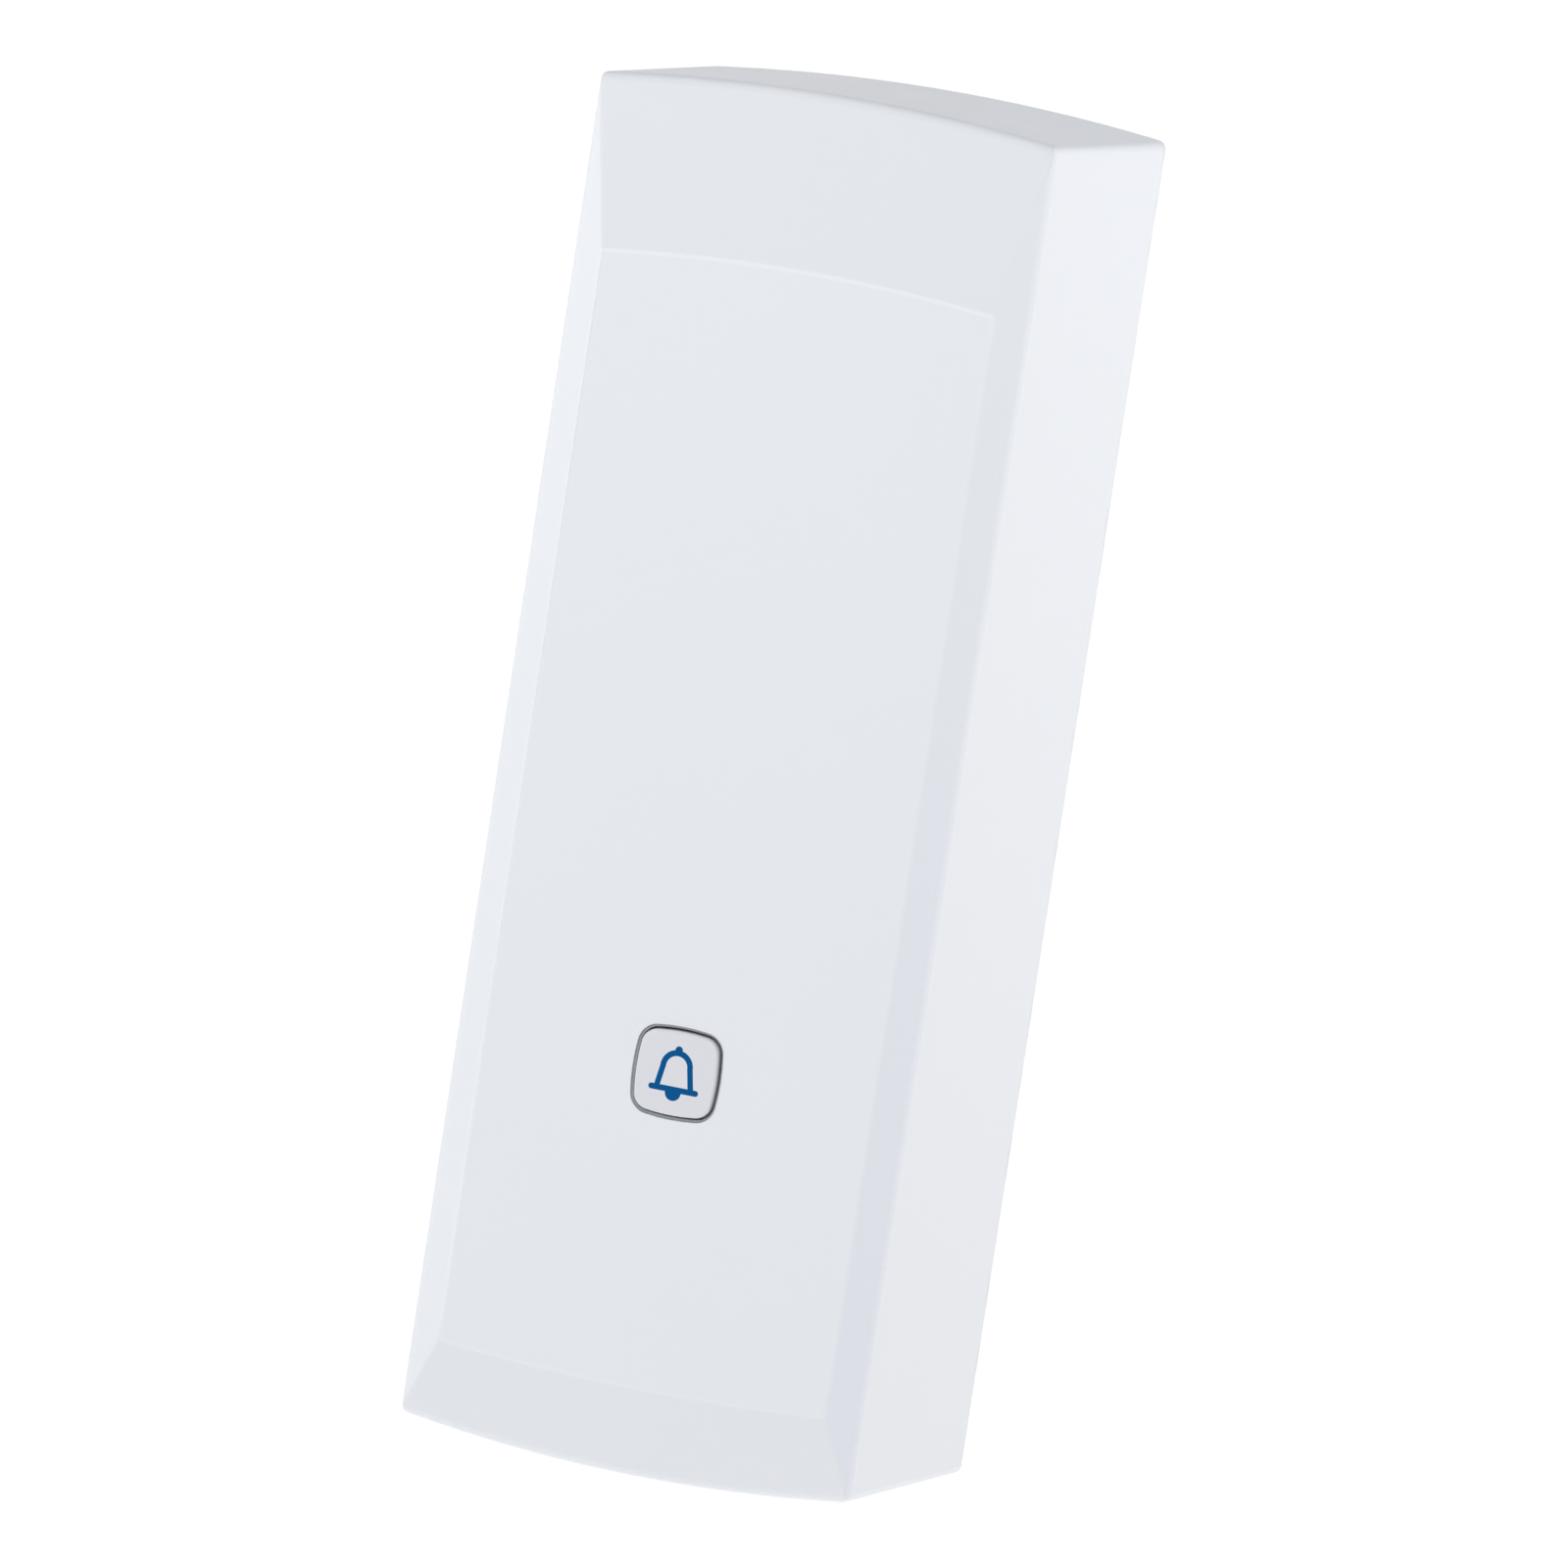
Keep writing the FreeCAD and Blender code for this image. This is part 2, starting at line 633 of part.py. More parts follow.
# ---- Battery door ----------------------------------------------------------------------------
def battery_door():
    """Sliding plate with grip grooves and four feet that pass behind the tray's rails."""
    plate = box(-door_half_width, door_half_width, tray_back, door_inside,
                -door_half_height, door_half_height)
    grooves = []
    for i in range(door_grip_count):
        z = -door_half_height + door_grip_margin + door_grip_pitch * i
        grooves.append(box(-door_grip_half, door_grip_half, tray_back - past,
                           tray_back + door_grip_depth, z, z + door_grip_width))
    stem_outer = bay_half_width - free_gap
    stem_inner = stem_outer - door_stem
    foot_outer = bay_half_width + door_foot
    foot_back = ledge_front + slide_gap
    tabs = []
    for middle in (-door_tab_rise, door_tab_rise):
        low = middle - door_tab_height / 2
        high = middle + door_tab_height / 2
        for sign in (-1, 1):
            x0, x1 = sorted((sign * stem_inner, sign * stem_outer))
            tabs.append(box(x0, x1, door_inside - sink, foot_front, low, high))
            x0, x1 = sorted((sign * stem_inner, sign * foot_outer))
            tabs.append(box(x0, x1, foot_back, foot_front, low, high))
    return fuse([cut(plate, grooves)] + tabs)


def door_foam():
    """Soft pad inside the door that steadies the cells."""
    half_x = row_pitch / 2 + foam_side_lap
    half_z = bay_half_height - foam_end_margin
    return box(-half_x, half_x, door_inside, door_inside + foam_thickness, -half_z, half_z)


# ---- Cells and contacts ----------------------------------------------------------------------
def battery_cell(x, z, points_up):
    """One AA cell; z is its lower end."""
    can = cell_length - nub_height
    can_low = z if points_up else z + nub_height
    nub_low = z + can - sink if points_up else z
    body = upright(x, cell_depth, cell_radius, can_low, can_low + can)
    body = body.makeFillet(cell_edge, [e for e in body.Edges if e.BoundBox.ZLength < 1e-6])
    return fuse([body, upright(x, cell_depth, nub_diameter / 2, nub_low, nub_low + nub_height + sink)])


def battery_cells():
    """Cells by name: the left row points up, the right row points down."""
    cells = {}
    number = 1
    plate_end = contact_thickness + contact_gap
    for row in range(rows):
        points_up = row % 2 == 0
        x = (row - (rows - 1) / 2) * row_pitch
        low = -bay_half_height + plate_end
        if points_up:
            low = bay_half_height - plate_end - cells_in_a_row * cell_length
        for place in range(cells_in_a_row):
            cells[f"battery_cell_{number}"] = battery_cell(x, low + place * cell_length, points_up)
            number += 1
    return cells


def contact_plate(x0, x1, z0, tab_x):
    """Thin end plate; with tab_x, a solder tab reaches through the bay's front."""
    z1 = z0 + contact_thickness
    plate = box(x0, x1, cell_depth - contact_half_depth, cell_depth + contact_half_depth, z0, z1)
    if tab_x is None:
        return plate
    tab = box(tab_x - contact_tab_half, tab_x + contact_tab_half, cell_depth, lead_start, z0, z1)
    return fuse([plate, tab])


def contact_springs():
    """Coil springs on the flat ends of the two rows."""
    springs = []
    half = bay_half_height - contact_thickness
    right = row_pitch / 2
    height = spring_height - spring_wire
    for x, z in ((-right, -half + spring_wire / 2), (right, half - spring_height + spring_wire / 2)):
        helix = Part.makeHelix(height / spring_turns, height, spring_radius)
        profile = Part.Wire(Part.Circle(V(spring_radius, 0, 0), V(0, 1, 0), spring_wire / 2).toShape())
        coil = Part.Wire(helix).makePipeShell([profile], True, True)
        coil.translate(V(x, -cell_depth, z))
        springs.append(coil)
    return Part.makeCompound(springs)


# ---- Push button -----------------------------------------------------------------------------
def soft_square(half, depth0, depth1):
    """Block about the button's centre: four bowed sides, rounded corners, parallel to the hole's.

    Each side lies on a circle of radius bow, and each corner's circle touches two of them inside.
    """
    corner = button_corner + half - hole_half
    bow = button_bow + half - hole_half
    bow_centre = bow - half
    reach = bow - corner
    corner_centre = (math.sqrt(2 * reach ** 2 - bow_centre ** 2) - bow_centre) / 2
    side_x = corner_centre * bow / reach
    side_z = (corner_centre + bow_centre) * bow / reach - bow_centre
    diagonal = corner_centre + corner * math.sqrt(0.5)

    def turned(x, z, quarter):
        for _ in range(quarter):
            x, z = z, -x
        return V(x, -depth0, button_z + z)

    edges = []
    for quarter in range(4):
        ends = ((-side_x, side_z), (0, half), (side_x, side_z))
        left, top, right = (turned(x, z, quarter) for x, z in ends)
        edges.append(arc(left, top, right))
        edges.append(arc(right, turned(diagonal, diagonal, quarter), turned(side_z, side_x, quarter)))
    return Part.Face(Part.Wire(edges)).extrude(V(0, -(depth1 - depth0), 0))


def bell_sign(depth0, depth1):
    """Generic bell: an open dome with flared sides, its lip, a clapper and a knob."""
    lip_half = 3.3
    lip_low = -2.4
    lip_middle = lip_low + sign_stroke / 2
    dome = 2.15
    flare = 2.65
    shoulder = 0.8
    clapper_radius = 1.05
    knob_radius = 0.5
    overlap = 0.1

    def bell(inset):
        r = dome - inset
        base = flare - inset
        low_left = V(-base, -depth0, button_z + lip_middle)
        low_right = V(base, -depth0, button_z + lip_middle)
        left = V(-r, -depth0, button_z + shoulder)
        right = V(r, -depth0, button_z + shoulder)
        crown = V(0, -depth0, button_z + shoulder + r)
        edges = [line(low_left, left), arc(left, crown, right), line(right, low_right),
                 line(low_right, low_left)]
        return Part.Face(Part.Wire(edges)).extrude(V(0, -(depth1 - depth0), 0))

    body = bell(0).cut(bell(sign_stroke))
    lip = rounded_box(lip_half, sign_stroke / 2, sign_stroke * 0.49, depth0, depth1, 0,
                      button_z + lip_middle)
    clapper = rod(0, button_z + lip_low, clapper_radius, depth0, depth1)
    clapper = clapper.cut(box(-dome, dome, depth0 - 1, depth1 + 1, button_z + lip_low + overlap,
                              button_z + dome))
    knob = rod(0, button_z + shoulder + dome, knob_radius, depth0, depth1)
    knob = knob.cut(box(-dome, dome, depth0 - 1, depth1 + 1, button_z,
                        button_z + shoulder + dome - overlap))
    return fuse([body, lip, clapper, knob])


def button_cap():
    """Cap with a flange that keeps it in and a post that meets the switch."""
    stem = soft_square(cap_half, flange_front - sink, cap_face)
    stem = stem.makeFillet(cap_fillet, flat_edges(stem, cap_face))
    flange = soft_square(flange_half, flange_back, flange_front)
    post = rod(0, button_z, plunger_radius + post_rim, plunger_front + touch_gap, flange_back + sink)
    return cut(fuse([stem, flange, post]), [bell_sign(cap_face - sign_depth, cap_face + past)])


def button_sign():
    """Blue bell, flush with the cap's face."""
    return bell_sign(cap_face - sign_depth, cap_face)


def button_seal():
    """Soft ring behind the panel, with a lip that stands in the gap round the cap."""
    outer = hole_half - seal_hole_gap
    back = panel_inside - seal_thickness
    foot = soft_square(guide_half - slide_gap, back, panel_inside)
    lip = soft_square(outer, back, panel_depth - seal_recess)
    return fuse([foot, lip]).cut(soft_square(outer - seal_lip, back - past, panel_depth))


def button_guide():
    """Frame screwed behind the panel: it clamps the seal and stops the cap's flange."""
    frame = soft_square(guide_half, guide_back, guide_front)
    lugs = []
    tools = [soft_square(guide_inner, guide_seat, guide_front + past),
             soft_square(switch_size / 2 + switch_margin, guide_back - past, guide_front)]
    for x, z in guide_screw_places:
        lugs.append(rod(x, z, small_boss_radius, guide_lug_back, guide_lug_front))
        x0, x1 = sorted((x, math.copysign(guide_half - guide_wall / 2, x)))
        lugs.append(box(x0, x1, guide_lug_back, guide_lug_front, z - small_boss_radius,
                        z + small_boss_radius))
        tools.append(rod(x, z, small_screw_radius + fit_gap, guide_lug_back - past, guide_front))
    return cut(fuse([frame] + lugs), tools)


def guide_screws():
    return Part.makeCompound([screw(x, z, small_screw_radius, guide_screw_length, small_head_radius,
                                    small_head_height, guide_lug_back, small_drive)
                              for x, z in guide_screw_places])


# ---- Switch, boards and what is soldered on them ---------------------------------------------
def switch_body():
    """Push switch with a bevelled top and a well for its plunger."""
    half = switch_size / 2
    body = box(-half, half, board_front, switch_front, button_z - half, button_z + half)
    body = body.makeChamfer(switch_bevel, flat_edges(body, switch_front))
    return body.cut(rod(0, button_z, plunger_radius + plunger_gap, switch_front - plunger_well,
                        switch_front + past))


def switch_plunger():
    plunger = rod(0, button_z, plunger_radius, switch_front - plunger_hidden, plunger_front)
    return plunger.makeFillet(plunger_edge, flat_edges(plunger, plunger_front))


def main_board():
    board = rounded_box(board_width / 2, board_height / 2, board_corner, board_back, board_front, 0,
                        (board_top + board_bottom) / 2)
    holes = [rod(x, z, small_screw_radius + fit_gap, board_back - past, board_front + past)
             for x, z in board_screw_places]
    return cut(board, holes)


def board_screws():
    return Part.makeCompound([screw(x, z, small_screw_radius, small_screw_length, small_head_radius,
                                    small_head_height, board_back, small_drive)
                              for x, z in board_screw_places])


def status_led():
    """Small lamp beside the guide that lights the seal's edge."""
    z = button_z + guide_half + lamp_margin
    base_front = board_front + lamp_base
    base = box(-lamp_half_width, lamp_half_width, board_front, base_front,
               z - lamp_half_height, z + lamp_half_height)
    lens = rod(0, z, lamp_radius, base_front - sink, base_front + lamp_lens)
    return fuse([base, lens])


def controller_chip():
    z = board_top - chip_below_top
    half = chip_side / 2
    return box(chip_x - half, chip_x + half, board_back - chip_height, board_back, z - half, z + half)


def radio_board():
    return box(radio_x - radio_width / 2, radio_x + radio_width / 2, radio_face, board_back,
               radio_z - radio_height / 2, radio_z + radio_height / 2)


def radio_shield():
    """Pressed tin can over the radio's chips."""
    lid = radio_face - shield_height
    half = shield_width / 2
    low = radio_z - radio_height / 2 + shield_margin
    can = box(radio_x - half, radio_x + half, lid, radio_face, low, low + shield_length)
    can = can.makeFillet(small_edge, flat_edges(can, lid))
    hollow = box(radio_x - half + shield_sheet, radio_x + half - shield_sheet, lid + shield_sheet,
                 board_back, low + shield_sheet, low + shield_length - shield_sheet)
    return can.cut(hollow)


def board_capacitors():
    cans = []
    back = board_back - can_height
    for i in range(can_count):
        can = rod(can_x, board_bottom + can_above_bottom + can_pitch * i, can_radius, back, board_back)
        cans.append(can.makeFillet(small_edge, flat_edges(can, back)))
    return Part.makeCompound(cans)


def battery_connector():
    """Two-way header; its mouths point down."""
    body = box(-connector_half_width, connector_half_width, board_back - connector_depth, board_back,
               connector_low, connector_low + connector_height)
    mouths = [upright(x, lead_depth, lead_diameter / 2 + fit_gap, connector_low - past,
                      connector_low + connector_height / 2)
              for x in (-lead_spacing / 2, lead_spacing / 2)]
    return cut(body, mouths)


def lead(sign):
    """Insulated wire from a bay contact's tab to the connector."""
    z = -bay_half_height + contact_thickness / 2
    x = sign * row_pitch / 2
    end_x = sign * lead_spacing / 2
    return tube([(x, lead_start, z), (x, lead_start + 4.0, z),
                 (sign * (lead_spacing / 2 + 3.5), lead_depth - 1.4, z - 3.5),
                 (end_x, lead_depth, z - 2.5), (end_x, lead_depth, connector_low)], lead_diameter / 2)


def antenna_patch():
    """Thin printed strip stuck inside the panel."""
    return box(-antenna_width / 2, antenna_width / 2, panel_inside - antenna_thickness, panel_inside,
               antenna_low, rib_high - antenna_margin)


def antenna_cable():
    """Thin coax from the radio, over the board's top edge, to the antenna strip."""
    along_board = radio_face - antenna_cable_radius
    on_strip = panel_inside - antenna_thickness - antenna_cable_radius
    return tube([(radio_x, along_board, radio_z + radio_height / 4),
                 (radio_x, along_board, board_top + 5.5),
                 (radio_x * 0.7, board_front + 1.0, board_top + 10.0),
                 (radio_x * 0.4, on_strip - 1.9, board_top + 12.1),
                 (0.0, on_strip, board_top + 15.0)], antenna_cable_radius)


# ---- All pieces ------------------------------------------------------------------------------
def all_pieces():
    top_z = bay_half_height - contact_thickness
    low_z = -bay_half_height
    side = contact_half_width
    left = -row_pitch / 2
    right = row_pitch / 2
    pieces = {
        "wall_bracket": wall_bracket(),
        "front_cover": front_cover(),
        "base_tray": base_tray(),
        "case_gasket": case_gasket(),
        "cover_screws": cover_screws(),
        "battery_door": battery_door(),
        "door_foam": door_foam(),
        "bridge_contact": contact_plate(left - side, right + side, top_z, None),
        "negative_contact": contact_plate(left - side, left + side, low_z, left),
        "positive_contact": contact_plate(right - side, right + side, low_z, right),
        "contact_springs": contact_springs(),
        "battery_lead_black": lead(-1),
        "battery_lead_red": lead(1),
        "button_cap": button_cap(),
        "button_sign": button_sign(),
        "button_seal": button_seal(),
        "button_guide": button_guide(),
        "guide_screws": guide_screws(),
        "switch_body": switch_body(),
        "switch_plunger": switch_plunger(),
        "main_board": main_board(),
        "board_screws": board_screws(),
        "status_led": status_led(),
        "controller_chip": controller_chip(),
        "radio_board": radio_board(),
        "radio_shield": radio_shield(),
        "board_capacitors": board_capacitors(),
        "battery_connector": battery_connector(),
        "antenna_patch": antenna_patch(),
        "antenna_cable": antenna_cable(),
    }
    pieces.update(battery_cells())
    return pieces


os.makedirs("parts", exist_ok=True)
for node, shape in all_pieces().items():
    print(node, len(shape.Solids), shape.isValid(), round(shape.Volume, 2))
    shape.exportStep(f"parts/{node}.step")
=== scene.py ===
"""Finishes, small details and a plain studio for the wireless doorbell unit."""
import math

import bpy
import numpy as np
from mathutils import Matrix, Vector


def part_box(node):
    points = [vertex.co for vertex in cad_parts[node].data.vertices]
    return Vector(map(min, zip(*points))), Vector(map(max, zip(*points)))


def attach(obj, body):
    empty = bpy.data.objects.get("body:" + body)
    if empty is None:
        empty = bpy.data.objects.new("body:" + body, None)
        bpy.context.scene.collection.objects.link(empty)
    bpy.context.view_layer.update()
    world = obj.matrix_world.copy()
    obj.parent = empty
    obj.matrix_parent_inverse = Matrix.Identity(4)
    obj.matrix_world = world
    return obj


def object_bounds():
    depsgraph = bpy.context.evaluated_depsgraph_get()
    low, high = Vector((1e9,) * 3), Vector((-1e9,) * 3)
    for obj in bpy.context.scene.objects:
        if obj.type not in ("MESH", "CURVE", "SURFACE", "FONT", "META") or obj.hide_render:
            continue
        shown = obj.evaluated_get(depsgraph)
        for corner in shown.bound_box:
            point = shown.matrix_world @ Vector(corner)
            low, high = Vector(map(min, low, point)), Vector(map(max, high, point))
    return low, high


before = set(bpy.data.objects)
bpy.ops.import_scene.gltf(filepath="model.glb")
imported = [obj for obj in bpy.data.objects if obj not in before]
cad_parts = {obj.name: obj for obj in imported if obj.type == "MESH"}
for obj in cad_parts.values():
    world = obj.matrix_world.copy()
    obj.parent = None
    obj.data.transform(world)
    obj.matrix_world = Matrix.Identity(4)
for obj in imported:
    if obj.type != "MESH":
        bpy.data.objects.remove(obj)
cad_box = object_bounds()

bl_info = {
    "name": "Wireless Doorbell Unit",
    "version": (1, 0, 0),
    "blender": (4, 5, 0),
    "location": "View3D > Sidebar > Doorbell",
    "description": "Finishes, small details and a plain studio for a battery doorbell",
    "category": "Object",
}

MM = 0.001
SHARP_ANGLE = math.radians(42)
SCATTER_SEED = 11           # for the small parts on the main board
CASE = "case"
BATTERY_CELLS = ("battery_cell_1", "battery_cell_2", "battery_cell_3", "battery_cell_4")
CELLS_POINTING_UP = ("battery_cell_1", "battery_cell_2")

# The front panel's outline on the cover, in millimetres.
PANEL_HALF = 25.8
PANEL_TOP_DROP = 22.98      # panel's top, in the middle, below the cover's top
PANEL_BOTTOM_RISE = 12.12   # panel's bottom, in the middle, above the cover's bottom
PANEL_TOP_BOW = 1.5
PANEL_BOTTOM_BOW = 1.1
SIDE_FACET = 4.2
TOP_FACET = 21.8
BOTTOM_FACET = 10.2

# Depths in front of the wall, in millimetres, where the cover's facets start and are full.
FACETS_START = 43.9
FACETS_FULL = 44.5
CORNER_HALF_HEIGHT = 85.0   # the cover's corners above and below its middle
MITRE_BLEND = 0.06          # half of the soft change between two facets, as a share of a facet

# Where the side wall, the edge that hands polish and the part clear of the rim's scuffs start and
# are full, in millimetres: depths are from the wall, SIDE_WALL is from the cover's middle, and
# HANDLED_WIDTH is from its sides inwards.
SIDE_WALL = (29.5, 29.9)
HANDLED_DEPTH = (42.6, 44.4)
HANDLED_WIDTH = (2.6, 0.9)
UNSCUFFED_DEPTH = (0.5, 2.2)

# Painted light and shade: how much lighter each face's colour is made than the panel, and how much
# that changes down to the lower end.
UPPER_FACET_PAINTED_SHADE = -0.020
LOWER_FACET_PAINTED_SHADE = -0.048
LEFT_BEVEL_PAINTED_LIGHT = 0.013
RIGHT_BEVEL_PAINTED_LIGHT = 0.020
RIGHT_BEVEL_PAINTED_SHADE_DOWN = -0.032
RIGHT_SIDE_PAINTED_SHADE = -0.013
RIGHT_SIDE_PAINTED_SHADE_DOWN = -0.013
# Painted light tint that cools the lower right bevel, and painted shade tint that darkens and cools
# the top face.
LOW_BEVEL_PAINTED_LIGHT_TINT = (1.0, 1.0, 1.035)
CROWN_PAINTED_SHADE_TINT = (0.958, 0.969, 0.99)
NO_TINT = (1.0, 1.0, 1.0)

# How much of the painted highlight line on the panel's edge is lost on the right, towards the lower
# end and along the bottom, and the heights between which the top edge takes over.
LINE_FADE_RIGHT = 0.5
LINE_FADE_DOWN = 0.3
LINE_FADE_BOTTOM = 0.8
LINE_TOP_START = (55.0, 63.0)

# Print on a battery cell: middle and half-width, in millimetres from the positive end.
CELL_FILM_TOP = 1.6
CELL_FILM_END = 49.95
CELL_BAND = (10.0, 5.0)
CELL_LINES = ((17.0, 0.35), (46.5, 0.6))
PLUS_PLACE = 10.0
MINUS_PLACE = 43.0
SIGN_HALF_LENGTH = 1.8
SIGN_HALF_WIDTH = 0.45
PRINT_EDGE = 0.05

# Places of the small pieces, in millimetres.
LEG_PITCH_HALF = 2.25       # the tactile switch's legs above and below its middle
LEG_REACH = 0.3             # and how far beside its body they are soldered
RIVET_HALF = 1.95           # its rivets to each side of its middle, both ways
CAN_LEG_HALF = 1.25         # a capacitor's legs to each side of its middle
HEADER_PIN_HALF = 1.5       # the battery connector's pins to each side of its middle
LEAD_RADIUS = 0.65
CABLE_RADIUS = 0.5
PLUG_RISE = 1.12            # the coax plug's middle above the radio board's shield
DAB_DROP = 0.7              # the antenna's solder below the top of its cable
FINGER_PITCH = 1.5          # the antenna's copper fingers
FINGERS_MIDDLE = 38.0       # their middle above the doorbell's, and half of their length
FINGERS_HALF = 7.6

# How far up the sky, from 0 to 1, the bright band round the horizon reaches and fades.
HORIZON_BAND = 0.22
HORIZON_FADE = 0.42
FLOOR_HALF = 45.0           # in metres

# Place and size of each softbox, in metres.
SOFTBOXES = {"right": ((0.45, 0.12, 0.34), (0.30, 0.36)),
             "left": ((-0.80, -0.42, 0.40), (0.40, 0.70)),
             "top": ((-0.10, -0.55, 0.60), (0.50, 0.30)),
             "front": ((-0.30, -1.90, 0.20), (1.40, 1.20))}

# The camera's sensor in millimetres, and the distances that it sees in metres.
SENSOR_WIDTH = 36.0
CLIP_START = 0.05
CLIP_END = 120.0


# ---- What a user may change ------------------------------------------------------------------
def colour_property(name, description, default):
    return bpy.props.FloatVectorProperty(name=name, description=description, subtype="COLOR",
                                         size=3, min=0.0, max=1.0, default=default)


def share_property(name, description, default):
    return bpy.props.FloatProperty(name=name, description=description, subtype="FACTOR",
                                   min=0.0, max=1.0, default=default)


def length_property(name, description, default):
    return bpy.props.FloatProperty(name=name, description=description, unit="LENGTH",
                                   precision=5, default=default)


def angle_property(name, description, degrees):
    return bpy.props.FloatProperty(name=name, description=description, unit="ROTATION",
                                   default=math.radians(degrees))


def radiance_property(name, source, default):
    return bpy.props.FloatProperty(name=name, description="Radiance of " + source, min=0.0,
                                   default=default)


class DoorbellFinish(bpy.types.PropertyGroup):
    """Colours and surface qualities."""
    housing: colour_property("Housing", "Plastic of the front cover", (0.752, 0.773, 0.812))
    cap: colour_property("Button cap", "Plastic of the push button", (0.677, 0.687, 0.732))
    sign: colour_property("Sign", "Blue of the bell sign on the button", (0.0, 0.083, 0.262))
    seal: colour_property("Seal", "Rubber round the button", (0.345, 0.37, 0.40))
    inner: colour_property("Inner mouldings", "Bracket, tray, door and guide", (0.70, 0.71, 0.72))
    film: colour_property("Cell film", "Main colour of the battery cells", (0.055, 0.07, 0.09))
    board: colour_property("Main board", "Solder mask of the main board", (0.012, 0.11, 0.04))
    radio: colour_property("Radio board", "Solder mask of the radio board", (0.01, 0.045, 0.12))
    gloss: share_property("Housing roughness", "0 is polished and 1 is matt", 0.36)
    grain: length_property("Grain size", "Width of the moulded grain on the housing", 0.35 * MM)
    grain_depth: length_property("Grain depth", "Depth of the moulded grain", 0.004 * MM)
    # A painted highlight line along the panel's edge: how much lighter it makes the colour, and how
    # wide it is.
    painted_edge_highlight: share_property("Edge polish", "How much lighter the panel's edge is", 0.05)
    painted_highlight_width: length_property("Polish width", "Width of the light line on the panel's edge",
                                  0.5 * MM)


class DoorbellDetail(bpy.types.PropertyGroup):
    """Sizes of the small pieces on the boards and cells."""
    pin_pitch: length_property("Pin pitch", "Between neighbouring pins of the chip", 0.65 * MM)
    pin_width: length_property("Pin width", "Width of one pin", 0.24 * MM)
    part_length: length_property("Chip part length", "Length of a resistor or capacitor", 1.6 * MM)
    part_count: bpy.props.IntProperty(name="Chip parts", min=1, max=60, default=30,
                                      description="Parts on each side of the board")
    washer_width: length_property("Washer width", "Insulating ring round a cell's nub", 2.5 * MM)
    film_lip: length_property("Film lip", "Radius of the shrunk film's rolled edge", 0.16 * MM)
    solder_radius: length_property("Solder radius", "Foot of a solder joint", 0.95 * MM)


class DoorbellStage(bpy.types.PropertyGroup):
    """Camera, floor and lights."""
    azimuth: angle_property("Azimuth", "Camera's turn towards the doorbell's right side", 17.76)
    elevation: angle_property("Elevation", "Camera's height above the horizon", 5.92)
    roll: angle_property("Roll", "Camera's turn about its own axis", 8.68)
    distance: length_property("Distance", "Camera to the point that it looks at", 1.4813)
    lens: bpy.props.FloatProperty(name="Lens", description="Focal length in millimetres",
                                  default=274.3)
    aim: bpy.props.FloatVectorProperty(name="Aim", description="Point that the camera looks at",
                                       subtype="TRANSLATION", size=3,
                                       default=(6.86 * MM, -42.1 * MM, 1.46 * MM))
    floor: colour_property("Floor", "Colour of the floor", (0.9, 0.9, 0.9))
    floor_drop: length_property("Floor drop", "Floor below the doorbell's lower end", 0.6)
    sky: radiance_property("Sky", "the sky above the horizon", 0.356)
    horizon: radiance_property("Horizon", "the sky round the horizon", 1.0)
    floor_glow: radiance_property("Floor glow", "the floor itself", 0.63)
    right: radiance_property("Right light", "the right softbox", 3.18)
    left: radiance_property("Left light", "the left softbox", 2.14)
    top: radiance_property("Top light", "the top softbox", 2.0)
    front: radiance_property("Front light", "the front softbox", 0.17)


# ---- Shader maths ----------------------------------------------------------------------------
class Wire:
    """A shader socket; a sum or comparison with it adds the Math node it needs."""

    def __init__(self, sheet, socket):
        self.sheet = sheet
        self.socket = socket

    def math(self, operation, *others):
        sockets = dict(enumerate((self,) + others))
        return self.sheet.add("ShaderNodeMath", {"operation": operation}, sockets)

    def __add__(self, other):
        return self.math("ADD", other)

    __radd__ = __add__

    def __mul__(self, other):
        return self.math("MULTIPLY", other)

    __rmul__ = __mul__

    def __sub__(self, other):
        return self.math("SUBTRACT", other)

    def __rsub__(self, other):
        return self.sheet.add("ShaderNodeMath", {"operation": "SUBTRACT"}, {0: other, 1: self})

    def __truediv__(self, other):
        return self.math("DIVIDE", other)

    def __abs__(self):
        return self.math("ABSOLUTE")

    def __gt__(self, other):
        return self.math("GREATER_THAN", other)

    def most(self, other):
        return self.math("MAXIMUM", other)

    def rise(self, low, high):
        """Smooth step from 0 at low to 1 at high."""
        return self.sheet.add("ShaderNodeMapRange", {"interpolation_type": "SMOOTHSTEP"},
                              {0: self, 1: low, 2: high, 3: 0.0, 4: 1.0})

    def band(self, middle, half, soft):
        """1 within half of middle, falling to 0 over soft."""
        return 1 - abs(self - middle).rise(half, half + soft)


class NodeTree:
    """An emptied node tree of a material or world, and the one way to add a node to it."""

    def __init__(self, owner):
        owner.use_nodes = True
        self.tree = owner.node_tree
        self.tree.nodes.clear()

    def put(self, node, key, value):
        """Links or sets one input of a node."""
        socket = node.inputs[key]
        if isinstance(value, Wire):
            self.tree.links.new(value.socket, socket)
        elif socket.type == "RGBA" and len(value) == 3:
            socket.default_value = (*value, 1.0)
        else:
            socket.default_value = value

    def add(self, kind, settings, sockets, output=0):
        """A node of a kind: its settings first, then its sockets' values or links."""
        node = self.tree.nodes.new(kind)
        for key, value in settings.items():
            setattr(node, key, value)
        for key, value in sockets.items():
            self.put(node, key, value)
        return Wire(self, node.outputs[output]) if node.outputs else None


